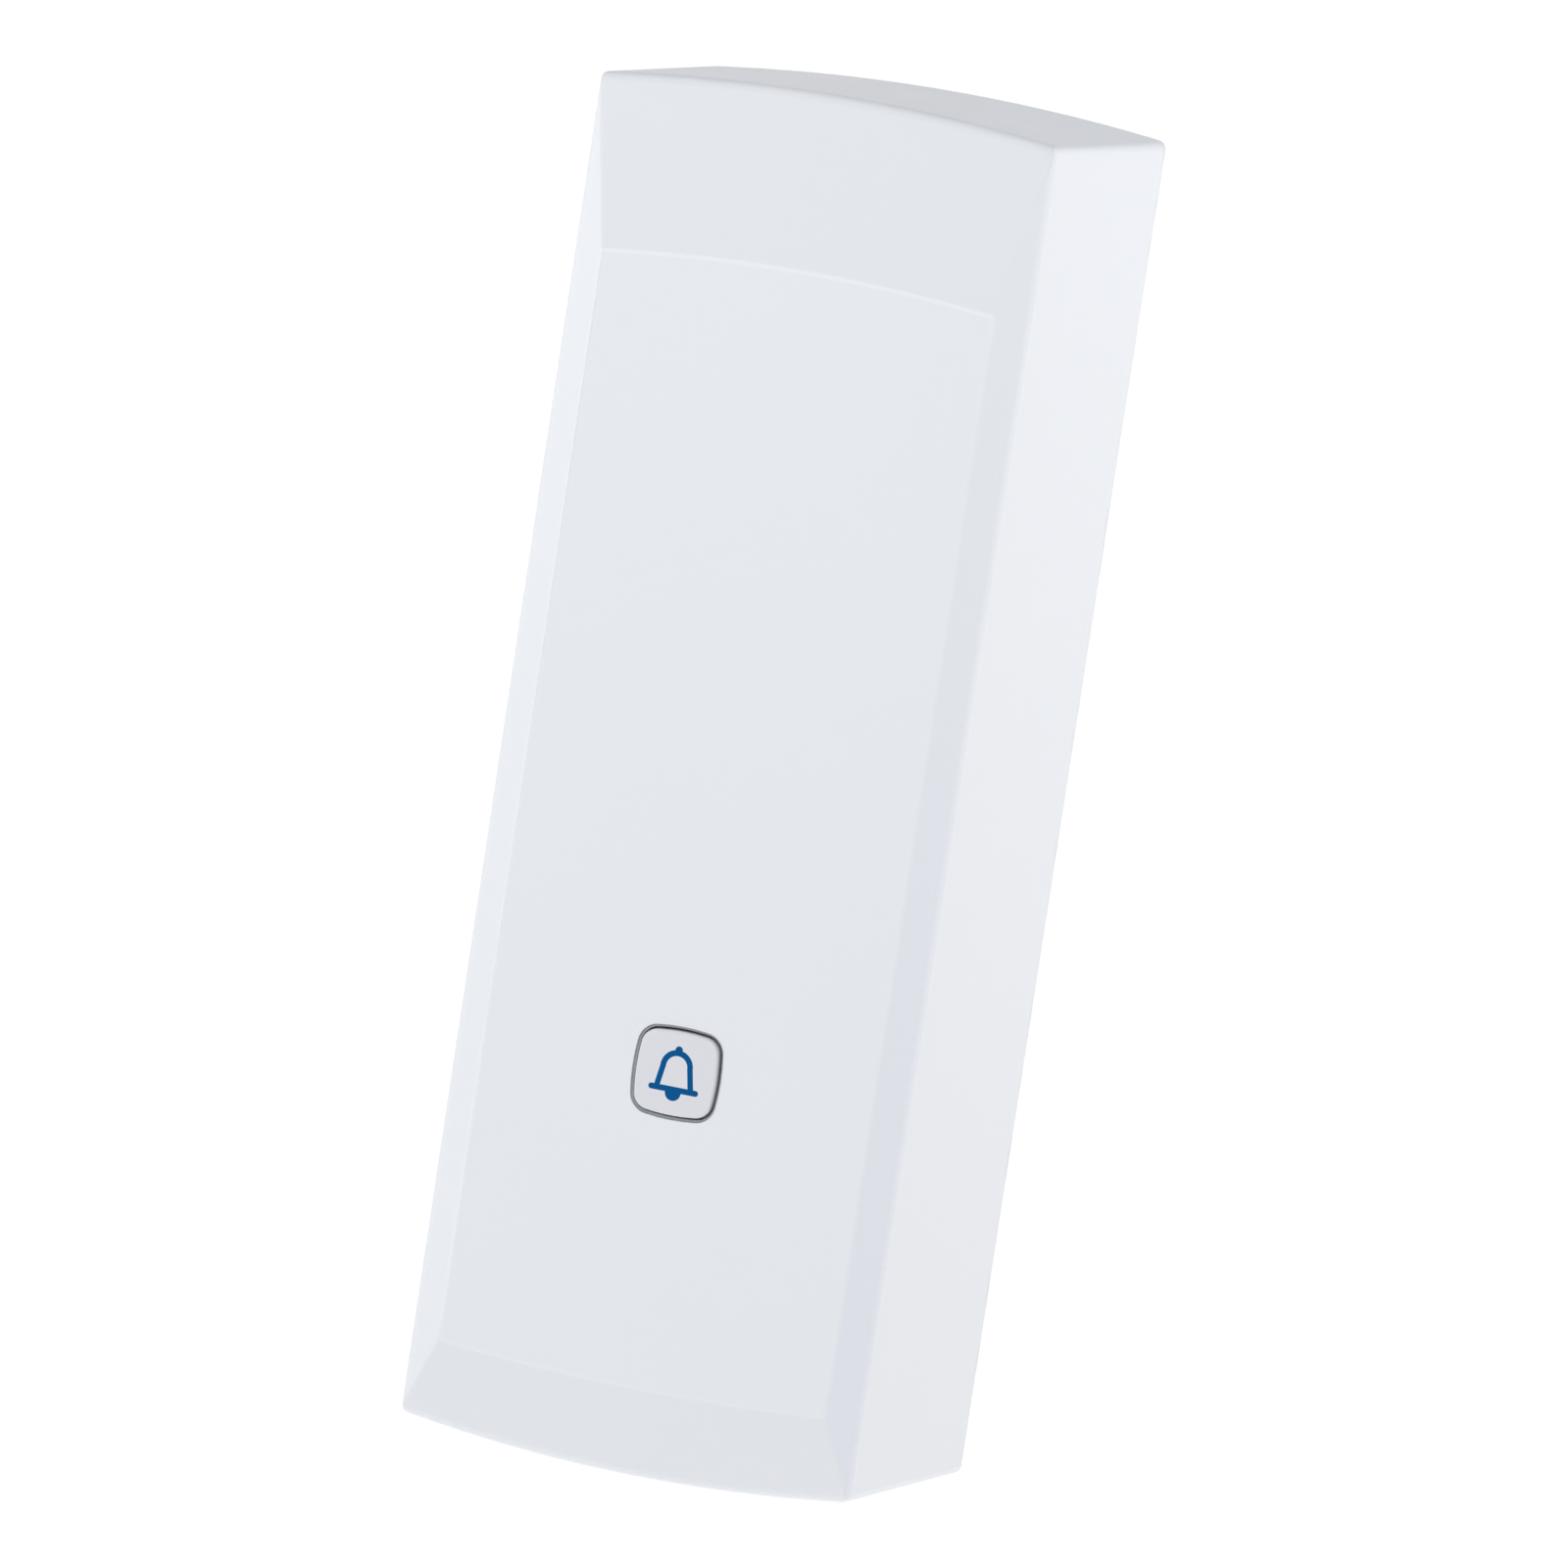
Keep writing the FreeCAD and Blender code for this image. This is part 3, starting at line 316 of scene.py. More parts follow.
class Sheet(NodeTree):
    """One material: a Principled shader, and the nodes that feed it. Lengths are in millimetres."""

    def __init__(self, name):
        self.material = bpy.data.materials.new(name)
        super().__init__(self.material)
        surface = self.add("ShaderNodeBsdfPrincipled", {}, {})
        self.shader = surface.socket.node
        self.add("ShaderNodeOutputMaterial", {}, {"Surface": surface})
        place = self.add("ShaderNodeTexCoord", {}, {}, "Object")
        self.place = self.scaled(place, 1 / MM)
        self.x = self.add("ShaderNodeSeparateXYZ", {}, {0: self.place}, 0)
        self.y = Wire(self, self.x.socket.node.outputs[1])
        self.z = Wire(self, self.x.socket.node.outputs[2])

    def scaled(self, vector, factor):
        """A vector or colour times a factor."""
        return self.add("ShaderNodeVectorMath", {"operation": "SCALE"},
                        {"Vector": vector, "Scale": factor})

    def mix(self, factor, colour, other):
        """Colour where factor is 0, and the other where it is 1."""
        return self.add("ShaderNodeMix", {"data_type": "RGBA"}, {0: factor, 6: colour, 7: other}, 2)

    def plane(self):
        """The (x, z) plane as a texture's first two coordinates."""
        return self.add("ShaderNodeCombineXYZ", {}, {0: self.x, 1: self.z, 2: 0.0})

    def stretched(self, x, y, z):
        """Place with each axis times a factor; a small factor draws a pattern out along it."""
        return self.add("ShaderNodeVectorMath", {"operation": "MULTIPLY"},
                        {0: self.place, 1: (x, y, z)})

    def noise(self, size, detail=2.0, place=None):
        """Soft noise from 0 to 1 whose lumps are about size wide."""
        return self.add("ShaderNodeTexNoise", {}, {"Vector": place or self.place,
                                                   "Scale": 1 / size, "Detail": detail})

    def dots(self, pitch, radius, soft, scatter=0.0):
        """Round dots on a square lattice in the (x, z) plane, or scattered."""
        distance = self.add("ShaderNodeTexVoronoi", {"voronoi_dimensions": "2D"},
                            {"Vector": self.plane(), "Scale": 1 / pitch, "Randomness": scatter})
        return 1 - distance.rise(radius / pitch, (radius + soft) / pitch)

    def cells(self, size):
        """0 in the middle of a random cell and 1 at its border."""
        return self.add("ShaderNodeTexVoronoi", {}, {"Vector": self.place, "Scale": 1 / size})

    def bump(self, height, depth, under=None):
        """Normal for a height from 0 to 1 that is depth deep."""
        sockets = {"Distance": depth * MM, "Height": height}
        if under is not None:
            sockets["Normal"] = under
        return self.add("ShaderNodeBump", {}, sockets)

    def finish(self, **values):
        """Sets the shader's sockets, named with _ for a space, and gives the material."""
        for key, value in values.items():
            self.put(self.shader, key.replace("_", " "), value)
        return self.material


def box_mm(node):
    """Low and high corners of a node's box, in millimetres."""
    low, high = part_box(node)
    return np.array(low) / MM, np.array(high) / MM


def shade(colour, factor):
    """A colour made darker or lighter."""
    return tuple(min(1.0, part * factor) for part in colour)


# ---- Finishes --------------------------------------------------------------------------------
def moulded(name, colour, roughness, grain, depth, clouds=0.03, marks=None):
    """Moulded plastic: fine grain, flow clouds and uneven gloss, with optional round marks."""
    sheet = Sheet(name)
    cloud = sheet.noise(14.0, 4.0)
    fine = sheet.noise(grain, 2.0)
    specks = sheet.noise(grain * 2.6, 1.0)
    normal = sheet.bump(fine, depth, sheet.bump(sheet.noise(5.0, 2.0), depth * 1.2))
    if marks:
        normal = sheet.bump(marks(sheet), 0.05, normal)
    return sheet.finish(Base_Color=sheet.mix(cloud * 0.7 + specks * 0.3, shade(colour, 1 - clouds),
                                             shade(colour, 1 + clouds)),
                        Roughness=roughness + (cloud - 0.5) * 0.10 + (fine - 0.5) * 0.06,
                        Normal=normal)


class CoverSheet(Sheet):
    """The front cover's material, with masks of its faces.

    beside, above and below say how far a point lies outside the front panel: 0 on the panel's
    outline and 1 on the cover's front edge, as shares of the side, top and bottom facets. The
    panel's top and bottom edges are bowed.
    """

    def __init__(self, name):
        super().__init__(name)
        low, high = box_mm("front_cover")
        bow = (self.x / PANEL_HALF) * (self.x / PANEL_HALF)
        above = self.z + bow * PANEL_TOP_BOW - (high[2] - PANEL_TOP_DROP)
        below = bow * PANEL_BOTTOM_BOW - self.z + (low[2] + PANEL_BOTTOM_RISE)
        self.beside = (abs(self.x) - PANEL_HALF) / SIDE_FACET
        self.above = above / TOP_FACET
        self.below = below / BOTTOM_FACET
        self.half_width = high[0]
        self.front = self.y * -1.0
        self.facing = self.front.rise(FACETS_START, FACETS_FULL)
        self.right = self.x > 0.0
        self.down = 1 - self.z.rise(-CORNER_HALF_HEIGHT, CORNER_HALF_HEIGHT)

    def painted_highlight_line(self, width):
        """Painted highlight line on the panel's edge: full at the top and left, and fainter
        elsewhere.
        """
        outside = (self.beside * SIDE_FACET).most(
            (self.above * TOP_FACET).most(self.below * BOTTOM_FACET))
        line = outside.band(0.0, width / 4, width / 2) * self.facing
        right_edge = 1 - self.right * (self.down * LINE_FADE_DOWN + LINE_FADE_RIGHT)
        line = line * self.z.rise(*LINE_TOP_START).most(right_edge)
        return line * (1 - self.below.rise(-0.3, -0.05) * LINE_FADE_BOTTOM)

    def faces(self, tone, line):
        """The tone with painted light and shade: each face a little lighter, darker or cooler than
        the panel, plus the painted highlight line.
        """
        upper = ((self.above - self.beside).rise(-MITRE_BLEND, MITRE_BLEND)
                 * self.above.rise(0.0, 0.02) * self.facing)
        lower = ((self.below - self.beside).rise(-MITRE_BLEND, MITRE_BLEND)
                 * self.below.rise(0.0, 0.03) * self.facing)
        bevel = self.beside.rise(0.0, 0.1) * self.facing * (1 - upper) * (1 - lower)
        side = self.right * (1 - self.facing) * abs(self.x).rise(*SIDE_WALL)
        crown = self.above.rise(1.0, 1.02) * (1 - self.facing)
        # Painted light and shade by face: bevels lighter at the top, upper and lower facets and
        # right side darker, the right bevel and side darker and bluer lower down, and the top face
        # darker and cooler.
        right_bevel_painted_shading = self.down * RIGHT_BEVEL_PAINTED_SHADE_DOWN + (RIGHT_BEVEL_PAINTED_LIGHT - LEFT_BEVEL_PAINTED_LIGHT)
        painted_shading = (bevel * (self.right * right_bevel_painted_shading + LEFT_BEVEL_PAINTED_LIGHT)
                  + upper * UPPER_FACET_PAINTED_SHADE + lower * LOWER_FACET_PAINTED_SHADE
                  + side * (self.down * RIGHT_SIDE_PAINTED_SHADE_DOWN + RIGHT_SIDE_PAINTED_SHADE))
        painted_tint = self.mix(bevel * self.right * self.down, NO_TINT, LOW_BEVEL_PAINTED_LIGHT_TINT)
        painted_tint = self.mix(crown, painted_tint, CROWN_PAINTED_SHADE_TINT)
        tone = self.add("ShaderNodeVectorMath", {"operation": "MULTIPLY"}, {0: tone, 1: painted_tint})
        return self.scaled(tone, painted_shading + line + 1)


def housing_finish(finish):
    """Satin housing: grain, clouds, edges polished by hands and a rim scuffed by the wall. Each
    facet's colour is painted a little darker or lighter than the panel as painted light and shade,
    with a painted highlight line along the panel's edge."""
    sheet = CoverSheet("housing_white")
    cloud = sheet.noise(30.0, 3.0)
    fine = sheet.noise(finish.grain / MM, 2.0)
    start, full = HANDLED_WIDTH
    beyond = abs(sheet.x).rise(sheet.half_width - start, sheet.half_width - full)
    edge = beyond * sheet.front.rise(*HANDLED_DEPTH)
    rim = 1 - sheet.front.rise(*UNSCUFFED_DEPTH)
    scuffs = rim * sheet.noise(1.6, 4.0, sheet.stretched(0.25, 1.0, 0.25)).rise(0.52, 0.62)
    handled = sheet.noise(9.0, 3.0).rise(0.5, 0.75)
    # Mask of the painted highlight line on the panel's edge; the roughness is also lowered there.
    painted_edge_highlight = sheet.painted_highlight_line(finish.painted_highlight_width / MM)
    tone = sheet.mix(cloud, shade(finish.housing, 0.992), shade(finish.housing, 1.006))
    tone = sheet.mix(scuffs * 0.35, tone, shade(finish.housing, 0.72))
    rough = (finish.gloss + (cloud - 0.5) * 0.06 + (fine - 0.5) * 0.04 - edge * 0.07
             - painted_edge_highlight * 0.05 + scuffs * 0.2 - handled * 0.03)
    waves = sheet.bump(sheet.noise(11.0, 1.0), 0.006)
    # The base colour carries the painted light and shade of each face and the painted highlight
    # line.
    return sheet.finish(Base_Color=sheet.faces(tone, painted_edge_highlight * finish.painted_edge_highlight), Roughness=rough,
                        Normal=sheet.bump(fine, finish.grain_depth / MM, waves))


def metal(name, colour, roughness, brush, scratches=0.5, tarnish=(0.30, 0.28, 0.25)):
    """Plated metal: brushed grain of a size, crossing scratches and a little tarnish."""
    sheet = Sheet(name)
    grain = sheet.noise(brush, 3.0, sheet.stretched(1.0, 1.0, 0.12))
    cross = sheet.noise(brush * 1.4, 3.0, sheet.stretched(0.1, 1.0, 1.0))
    stain = sheet.noise(2.2, 4.0).rise(0.55, 0.8)
    lines = grain.most(cross * scratches)
    return sheet.finish(Base_Color=sheet.mix(stain * 0.45, colour, tarnish), Metallic=1.0,
                        Roughness=roughness + (lines - 0.5) * 0.16 + stain * 0.14,
                        Normal=sheet.bump(lines, 0.006))


def rubber(name, colour, roughness, pore):
    """Soft rubber with a dusty bloom and tiny pores."""
    sheet = Sheet(name)
    bloom = sheet.noise(1.8, 4.0)
    pores = sheet.cells(pore)
    return sheet.finish(Base_Color=sheet.mix(bloom * 0.6, colour, shade(colour, 1.5)),
                        Roughness=roughness + (bloom - 0.5) * 0.2, Specular_IOR_Level=0.35,
                        Normal=sheet.bump(pores, 0.02))


def foam_finish():
    """Open-cell foam: pores painted dark as shade between paler walls."""
    sheet = Sheet("foam_grey")
    pores = sheet.cells(0.5)
    wall = pores.rise(0.25, 0.7)
    # The pores' darker colour is painted shade.
    return sheet.finish(Base_Color=sheet.mix(wall, (0.012, 0.012, 0.014), (0.09, 0.09, 0.10)),
                        Roughness=0.95, Specular_IOR_Level=0.2,
                        Normal=sheet.bump(wall, 0.18, sheet.bump(sheet.noise(0.2, 3.0), 0.03)))


def insulation(name, colour):
    """Wire insulation: smooth, slightly wavy and dusty."""
    sheet = Sheet(name)
    dust = sheet.noise(0.9, 4.0).rise(0.5, 0.8)
    wave = sheet.noise(0.8, 2.0)
    return sheet.finish(Base_Color=sheet.mix(dust * 0.3, colour, (0.30, 0.29, 0.28)),
                        Roughness=0.36 + dust * 0.25 + (wave - 0.5) * 0.1,
                        Normal=sheet.bump(wave, 0.03))


def board_finish(name, colour, pitch):
    """Board: glassy mask over copper runs along x or z in random blocks, with tinned vias whose
    holes are painted dark as shade.
    """
    sheet = Sheet(name)
    block = sheet.add("ShaderNodeTexVoronoi", {"voronoi_dimensions": "2D", "distance": "CHEBYCHEV"},
                      {"Vector": sheet.plane(), "Scale": 1 / (pitch * 9)}, 1)
    along = block > 0.45
    runs = []
    for turned in (False, True):
        across = (sheet.x if turned else sheet.z) / pitch
        lane = across.math("FLOOR")
        reach = (sheet.z if turned else sheet.x) / (pitch * 6) + lane * 0.37
        stretch = sheet.add("ShaderNodeCombineXYZ", {},
                            {0: lane, 1: reach.math("FLOOR"), 2: float(turned)})
        used = sheet.add("ShaderNodeTexWhiteNoise", {}, {"Vector": stretch}) > 0.38
        runs.append((1 - abs(across.math("FRACT") - 0.5).rise(0.17, 0.23)) * used)
    copper = runs[0] * along + runs[1] * (1 - along)
    via = sheet.dots(pitch * 3.1, pitch * 0.30, 0.05, 0.85)
    # Near-black dots painted in the via holes as the shade inside them.
    hole_shade = sheet.dots(pitch * 3.1, pitch * 0.13, 0.04, 0.85)
    cloth = sheet.noise(0.35, 2.0, sheet.stretched(1.0, 1.0, 0.4))
    tone = sheet.mix(copper, shade(colour, 0.8), shade(colour, 2.1))
    tone = sheet.mix(via, tone, (0.66, 0.62, 0.50))
    tone = sheet.mix(hole_shade, tone, (0.02, 0.02, 0.02))
    return sheet.finish(Base_Color=tone, Metallic=via * (1 - hole_shade) * 0.9,
                        Roughness=0.22 + via * 0.12 + (cloth - 0.5) * 0.1, Coat_Weight=0.3,
                        Normal=sheet.bump(copper.most(via) - hole_shade, 0.035, sheet.bump(cloth, 0.006)))


def sign_finish(finish):
    """Inlaid enamel: deep blue, satin and a little uneven."""
    sheet = Sheet("sign_blue")
    flow = sheet.noise(1.2, 3.0)
    tone = sheet.mix(flow, shade(finish.sign, 0.92), shade(finish.sign, 1.08))
    return sheet.finish(Base_Color=tone, Roughness=0.42 + (flow - 0.5) * 0.08,
                        Specular_IOR_Level=0.06, Normal=sheet.bump(flow, 0.006))


def cell_finish(node, colour):
    """Battery cell: printed film with a pale band and plus and minus signs, plated bare ends."""
    low, high = box_mm(node)
    middle = (low[0] + high[0]) / 2
    up = 1.0 if node in CELLS_POINTING_UP else -1.0
    positive = high[2] if up > 0 else low[2]
    sheet = Sheet(node + "_film")
    along = (sheet.z * -up) + positive * up
    across = sheet.x - middle
    film = (along.rise(CELL_FILM_TOP - PRINT_EDGE, CELL_FILM_TOP + PRINT_EDGE)
            * (1 - along.rise(CELL_FILM_END - PRINT_EDGE, CELL_FILM_END + PRINT_EDGE)))
    band = along.band(*CELL_BAND, PRINT_EDGE)
    line = along.band(*CELL_LINES[0], PRINT_EDGE).most(along.band(*CELL_LINES[1], PRINT_EDGE))
    long_across = across.band(0.0, SIGN_HALF_LENGTH, PRINT_EDGE)
    plus = (along.band(PLUS_PLACE, SIGN_HALF_LENGTH, PRINT_EDGE)
            * across.band(0.0, SIGN_HALF_WIDTH, PRINT_EDGE))
    plus = plus.most(along.band(PLUS_PLACE, SIGN_HALF_WIDTH, PRINT_EDGE) * long_across)
    minus = along.band(MINUS_PLACE, SIGN_HALF_WIDTH, PRINT_EDGE) * long_across
    scuffs = sheet.noise(1.0, 4.0, sheet.stretched(1.0, 1.0, 0.3)).rise(0.62, 0.72)
    tone = sheet.mix(band, colour, (0.62, 0.64, 0.66))
    tone = sheet.mix(line.most(minus), tone, (0.70, 0.72, 0.74))
    tone = sheet.mix(plus, tone, shade(colour, 0.8))
    tone = sheet.mix(scuffs * 0.3, tone, (0.45, 0.46, 0.47))
    tone = sheet.mix(film, (0.68, 0.67, 0.64), tone)
    grain = sheet.noise(0.25, 3.0, sheet.stretched(0.3, 0.3, 1.0))
    return sheet.finish(Base_Color=tone, Metallic=1 - film * 0.72,
                        Roughness=0.30 + (grain - 0.5) * 0.12 + scuffs * 0.18,
                        Coat_Weight=film * 0.5, Normal=sheet.bump(grain, 0.004))


def can_finish():
    """Capacitor: dark sleeve with a pale stripe, and a scored bare end towards the wall."""
    low, high = box_mm("board_capacitors")
    radius = (high[0] - low[0]) / 2
    sheet = Sheet("can_aluminium")
    end = sheet.y.rise(high[1] - 0.25, high[1] - 0.2)
    across = sheet.x - (low[0] + high[0]) / 2
    lower = abs(sheet.z - (low[2] + radius))
    upper = abs(sheet.z - (high[2] - radius))
    nearest = lower.math("MINIMUM", upper)
    score = (across.band(0.0, 0.12, 0.08).most(nearest.band(0.0, 0.12, 0.08))) * end
    score = score * abs(across).rise(2.4, 2.3)
    stripe = across.rise(1.9, 1.95) * (1 - end)
    brushed = sheet.noise(0.3, 3.0, sheet.stretched(0.2, 1.0, 1.0))
    tone = sheet.mix(stripe, (0.012, 0.016, 0.03), (0.42, 0.45, 0.50))
    tone = sheet.mix(end, tone, (0.72, 0.72, 0.73))
    return sheet.finish(Base_Color=tone, Metallic=end, Roughness=0.32 + (brushed - 0.5) * 0.15,
                        Normal=sheet.bump(1 - score, 0.12, sheet.bump(brushed, 0.004)))


def shield_finish():
    """Tinned can: large dull crystals, fine scratches and a lattice of vent dimples painted near
    black as shade.
    """
    sheet = Sheet("shield_tin")
    high = box_mm("radio_shield")[1]
    lid = sheet.y.rise(high[1] - 0.15, high[1] - 0.1)
    crystal = sheet.add("ShaderNodeTexVoronoi", {}, {"Vector": sheet.place, "Scale": 0.45}, 1)
    # Vent dimples: near-black colour painted in as the shade inside them, and a bump.
    shaded_vents = sheet.dots(2.0, 0.32, 0.05) * lid
    lines = sheet.noise(0.2, 3.0, sheet.stretched(0.08, 1.0, 1.0))
    tone = sheet.mix(crystal.rise(0.0, 1.0), (0.60, 0.60, 0.58), (0.74, 0.74, 0.72))
    return sheet.finish(Base_Color=sheet.mix(shaded_vents, tone, (0.03, 0.03, 0.03)), Metallic=1 - shaded_vents,
                        Roughness=0.26 + crystal * 0.14 + (lines - 0.5) * 0.1,
                        Normal=sheet.bump(1 - shaded_vents, 0.12, sheet.bump(lines, 0.004)))


def chip_finish():
    """Moulded epoxy: sparkling grain, a paler top and a dimple by pin one."""
    low, high = box_mm("controller_chip")
    sheet = Sheet("chip_black")
    top = sheet.y.rise(high[1] - 0.08, high[1] - 0.04)
    dimple = ((sheet.x - (low[0] + 1.1)).math("POWER", 2.0)
              + (sheet.z - (high[2] - 1.1)).math("POWER", 2.0)).math("SQRT")
    dimple = (1 - dimple.rise(0.35, 0.42)) * top
    grain = sheet.noise(0.09, 2.0)
    return sheet.finish(Base_Color=sheet.mix(top * (0.5 + grain * 0.5), (0.012, 0.012, 0.013),
                                             (0.035, 0.035, 0.038)),
                        Roughness=0.52 + (grain - 0.5) * 0.15 - dimple * 0.25,
                        Normal=sheet.bump(1 - dimple, 0.1, sheet.bump(grain, 0.012)))


def antenna_finish():
    """Amber film over copper fingers that run along the strip."""
    sheet = Sheet("antenna_amber")
    finger = (sheet.x / FINGER_PITCH).math("FRACT").band(0.5, 0.26, 0.04)
    ends = sheet.z.band(FINGERS_MIDDLE, FINGERS_HALF, 0.1)
    copper = finger * ends
    wrinkle = sheet.noise(1.4, 3.0)
    return sheet.finish(Base_Color=sheet.mix(copper, (0.30, 0.10, 0.012), (0.62, 0.25, 0.06)),
                        Metallic=copper * 0.8, Roughness=0.26 + (wrinkle - 0.5) * 0.12,
                        Coat_Weight=0.6, Normal=sheet.bump(copper + wrinkle * 0.5, 0.03))


def lamp_finish():
    """Lamp: white base and a pale yellow resin dome towards the front."""
    low = box_mm("status_led")[0]
    sheet = Sheet("lamp_white")
    dome = 1 - sheet.y.rise(low[1] + 0.38, low[1] + 0.42)
    grain = sheet.noise(0.12, 2.0)
    return sheet.finish(Base_Color=sheet.mix(dome, (0.80, 0.80, 0.78), (0.85, 0.72, 0.25)),
                        Roughness=0.42 - dome * 0.32 + (grain - 0.5) * 0.08,
                        Normal=sheet.bump(grain, 0.006))


def small_part_finish():
    """Chip parts: black glassy resistors, and tan capacitors where the noise says so."""
    sheet = Sheet("small_part_bodies")
    kind = sheet.noise(4.0, 0.0).rise(0.49, 0.51)
    grain = sheet.noise(0.1, 2.0)
    return sheet.finish(Base_Color=sheet.mix(kind, (0.02, 0.02, 0.022), (0.30, 0.17, 0.08)),
                        Roughness=0.3 + kind * 0.2 + (grain - 0.5) * 0.1,
                        Normal=sheet.bump(grain, 0.008))


def give(material, *nodes):
    """Puts a finish on every slot of CAD pieces."""
    for name in nodes:
        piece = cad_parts[name]
        if not piece.material_slots:
            piece.data.materials.append(material)
        for slot in piece.material_slots:
            slot.material = material


# ---- Surfaces --------------------------------------------------------------------------------
def superellipse(half_width, half_height, power, around):
    """Closed loop: half times cos and sin of the angle, each raised to 2/power with its sign."""
    angle = np.linspace(0.0, 2 * np.pi, around, endpoint=False)
    wave = np.stack([np.cos(angle), np.sin(angle)], axis=-1)
    return np.sign(wave) * np.abs(wave) ** (2 / power) * (half_width, half_height)


def lathe(profile, around):
    """Rings about the third axis: (r cos a, r sin a, h) for each (r, h) of the profile."""
    profile = np.asarray(profile, dtype=float)
    circle = superellipse(1.0, 1.0, 2.0, around)
    rings = np.zeros((len(profile), around, 3))
    rings[:, :, :2] = profile[:, None, :1] * circle[None]
    rings[:, :, 2] = profile[:, None, 1]
    return rings


def ribbon(path, width, thickness, around):
    """Soft-cornered section carried along a path of (out, up), square to the path's direction."""
    path = np.asarray(path, dtype=float)
    along = np.gradient(path, axis=0)
    along /= np.linalg.norm(along, axis=1, keepdims=True)
    section = superellipse(thickness / 2, width / 2, 5.0, around)
    rings = np.zeros((len(path), around, 3))
    rings[:, :, 0] = path[:, None, 0] - along[:, None, 1] * section[None, :, 0]
    rings[:, :, 1] = path[:, None, 1] + along[:, None, 0] * section[None, :, 0]
    rings[:, :, 2] = section[None, :, 1]
    return rings


def bar(length, width, height, around):
    """Soft-edged bar along the first axis: one section, shrunk at both ends."""
    steps = np.array([(-0.5, 0.80), (-0.47, 0.95), (-0.43, 1.0),
                      (0.43, 1.0), (0.47, 0.95), (0.5, 0.80)])
    section = superellipse(width / 2, height / 2, 6.0, around)
    rings = np.zeros((len(steps), around, 3))
    rings[:, :, 0] = steps[:, None, 0] * length
    rings[:, :, 1:] = steps[:, None, 1:] * section[None]
    return rings


def placed(rings, origins, axes):
    """Copies of local rings: each point is origin + first*a + second*b + third*c, in metres."""
    turned = np.einsum("kmi,cij->ckmj", rings, np.asarray(axes, dtype=float))
    return (np.asarray(origins, dtype=float)[:, None, None, :] + turned) * MM


def ring_faces(shape, loop, first):
    """Quads between neighbouring rings, and fans from two added centres where it isn't a loop."""
    copies, count, around = shape
    start = first + np.arange(copies)[:, None, None] * count * around
    ring = np.arange(count if loop else count - 1)[None, :, None]
    point = np.arange(around)[None, None, :]
    corners = [start + (ring + r) % count * around + (point + p) % around
               for r, p in ((0, 0), (0, 1), (1, 1), (1, 0))]
    faces = np.stack(corners, axis=-1).reshape(-1, 4).tolist()
    if loop:
        return faces
    centre = first + copies * count * around + np.arange(copies)[:, None] * 2
    start = start[:, 0]
    point = point[0]
    last = start + (count - 1) * around
    faces += np.stack([centre + 0 * point, start + (point + 1) % around, start + point],
                      axis=-1).reshape(-1, 3).tolist()
    faces += np.stack([centre + 1 + 0 * point, last + point, last + (point + 1) % around],
                      axis=-1).reshape(-1, 3).tolist()
    return faces


def turned_out(points, faces):
    """The faces, reversed where the volume that they close comes out negative."""
    corners = points[np.array([face[:3] for face in faces])]
    volume = np.einsum("ij,ij->i", corners[:, 0], np.cross(corners[:, 1], corners[:, 2])).sum()
    quads = points[np.array([face for face in faces if len(face) == 4])]
    volume += np.einsum("ij,ij->i", quads[:, 0], np.cross(quads[:, 2], quads[:, 3])).sum()
    return faces if volume > 0 else [face[::-1] for face in faces]


def add_piece(name, groups, material, body=CASE):
    """One object from groups of (rings[copy, ring, point, xyz], loop)."""
    points = []
    faces = []
    first = 0
    for rings, loop in groups:
        flat = rings.reshape(-1, 3)
        if not loop:
            centres = rings[:, [0, -1]].mean(axis=2).reshape(-1, 3)
            flat = np.concatenate([flat, centres])
        own = ring_faces(rings.shape[:3], loop, 0)
        own = turned_out(flat - flat.mean(axis=0), own)
        faces += [[corner + first for corner in face] for face in own]
        points.append(flat)
        first += len(flat)
    mesh = bpy.data.meshes.new(name)
    mesh.from_pydata(np.concatenate(points).tolist(), [], faces)
    mesh.polygons.foreach_set("use_smooth", [True] * len(mesh.polygons))
    mesh.set_sharp_from_angle(angle=SHARP_ANGLE)
    mesh.validate()
    mesh.materials.append(material)
    piece = bpy.data.objects.new(name, mesh)
    bpy.context.scene.collection.objects.link(piece)
    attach(piece, body)
    return piece


X = (1.0, 0.0, 0.0)
Y = (0.0, 1.0, 0.0)
Z = (0.0, 0.0, 1.0)
BACK_X = (-1.0, 0.0, 0.0)
BACK_Y = (0.0, -1.0, 0.0)
BACK_Z = (0.0, 0.0, -1.0)
TO_WALL = (X, Z, Y)
TO_VISITOR = (X, Z, BACK_Y)


def chip_pins(detail):
    """Gull-wing pins on four sides: out of the body, down and out along the board."""
    low, high = box_mm("controller_chip")
    centre = (low + high) / 2
    path = [(-0.05, 0.50), (0.18, 0.50), (0.32, 0.47), (0.40, 0.38), (0.50, 0.17), (0.58, 0.09),
            (0.70, 0.06), (1.0, 0.06)]
    shape = ribbon(path, detail.pin_width / MM, 0.11, 8)
    pitch = detail.pin_pitch / MM
    corner_room = 1.0
    count = int((high[0] - low[0] - corner_room) / pitch)
    offsets = (np.arange(count) - (count - 1) / 2) * pitch
    origins = []
    axes = []
    for out, across, place in ((X, Z, (high[0], low[1], centre[2])),
                               (BACK_X, Z, (low[0], low[1], centre[2])),
                               (Z, X, (centre[0], low[1], high[2])),
                               (BACK_Z, X, (centre[0], low[1], low[2]))):
        origins += [np.array(place) + np.array(across) * offset for offset in offsets]
        axes += [(out, Y, across)] * count
    add_piece("chip_pins", [(placed(shape, origins, axes), False)],
              metal("pin_tin", (0.70, 0.70, 0.68), 0.25, 0.2))


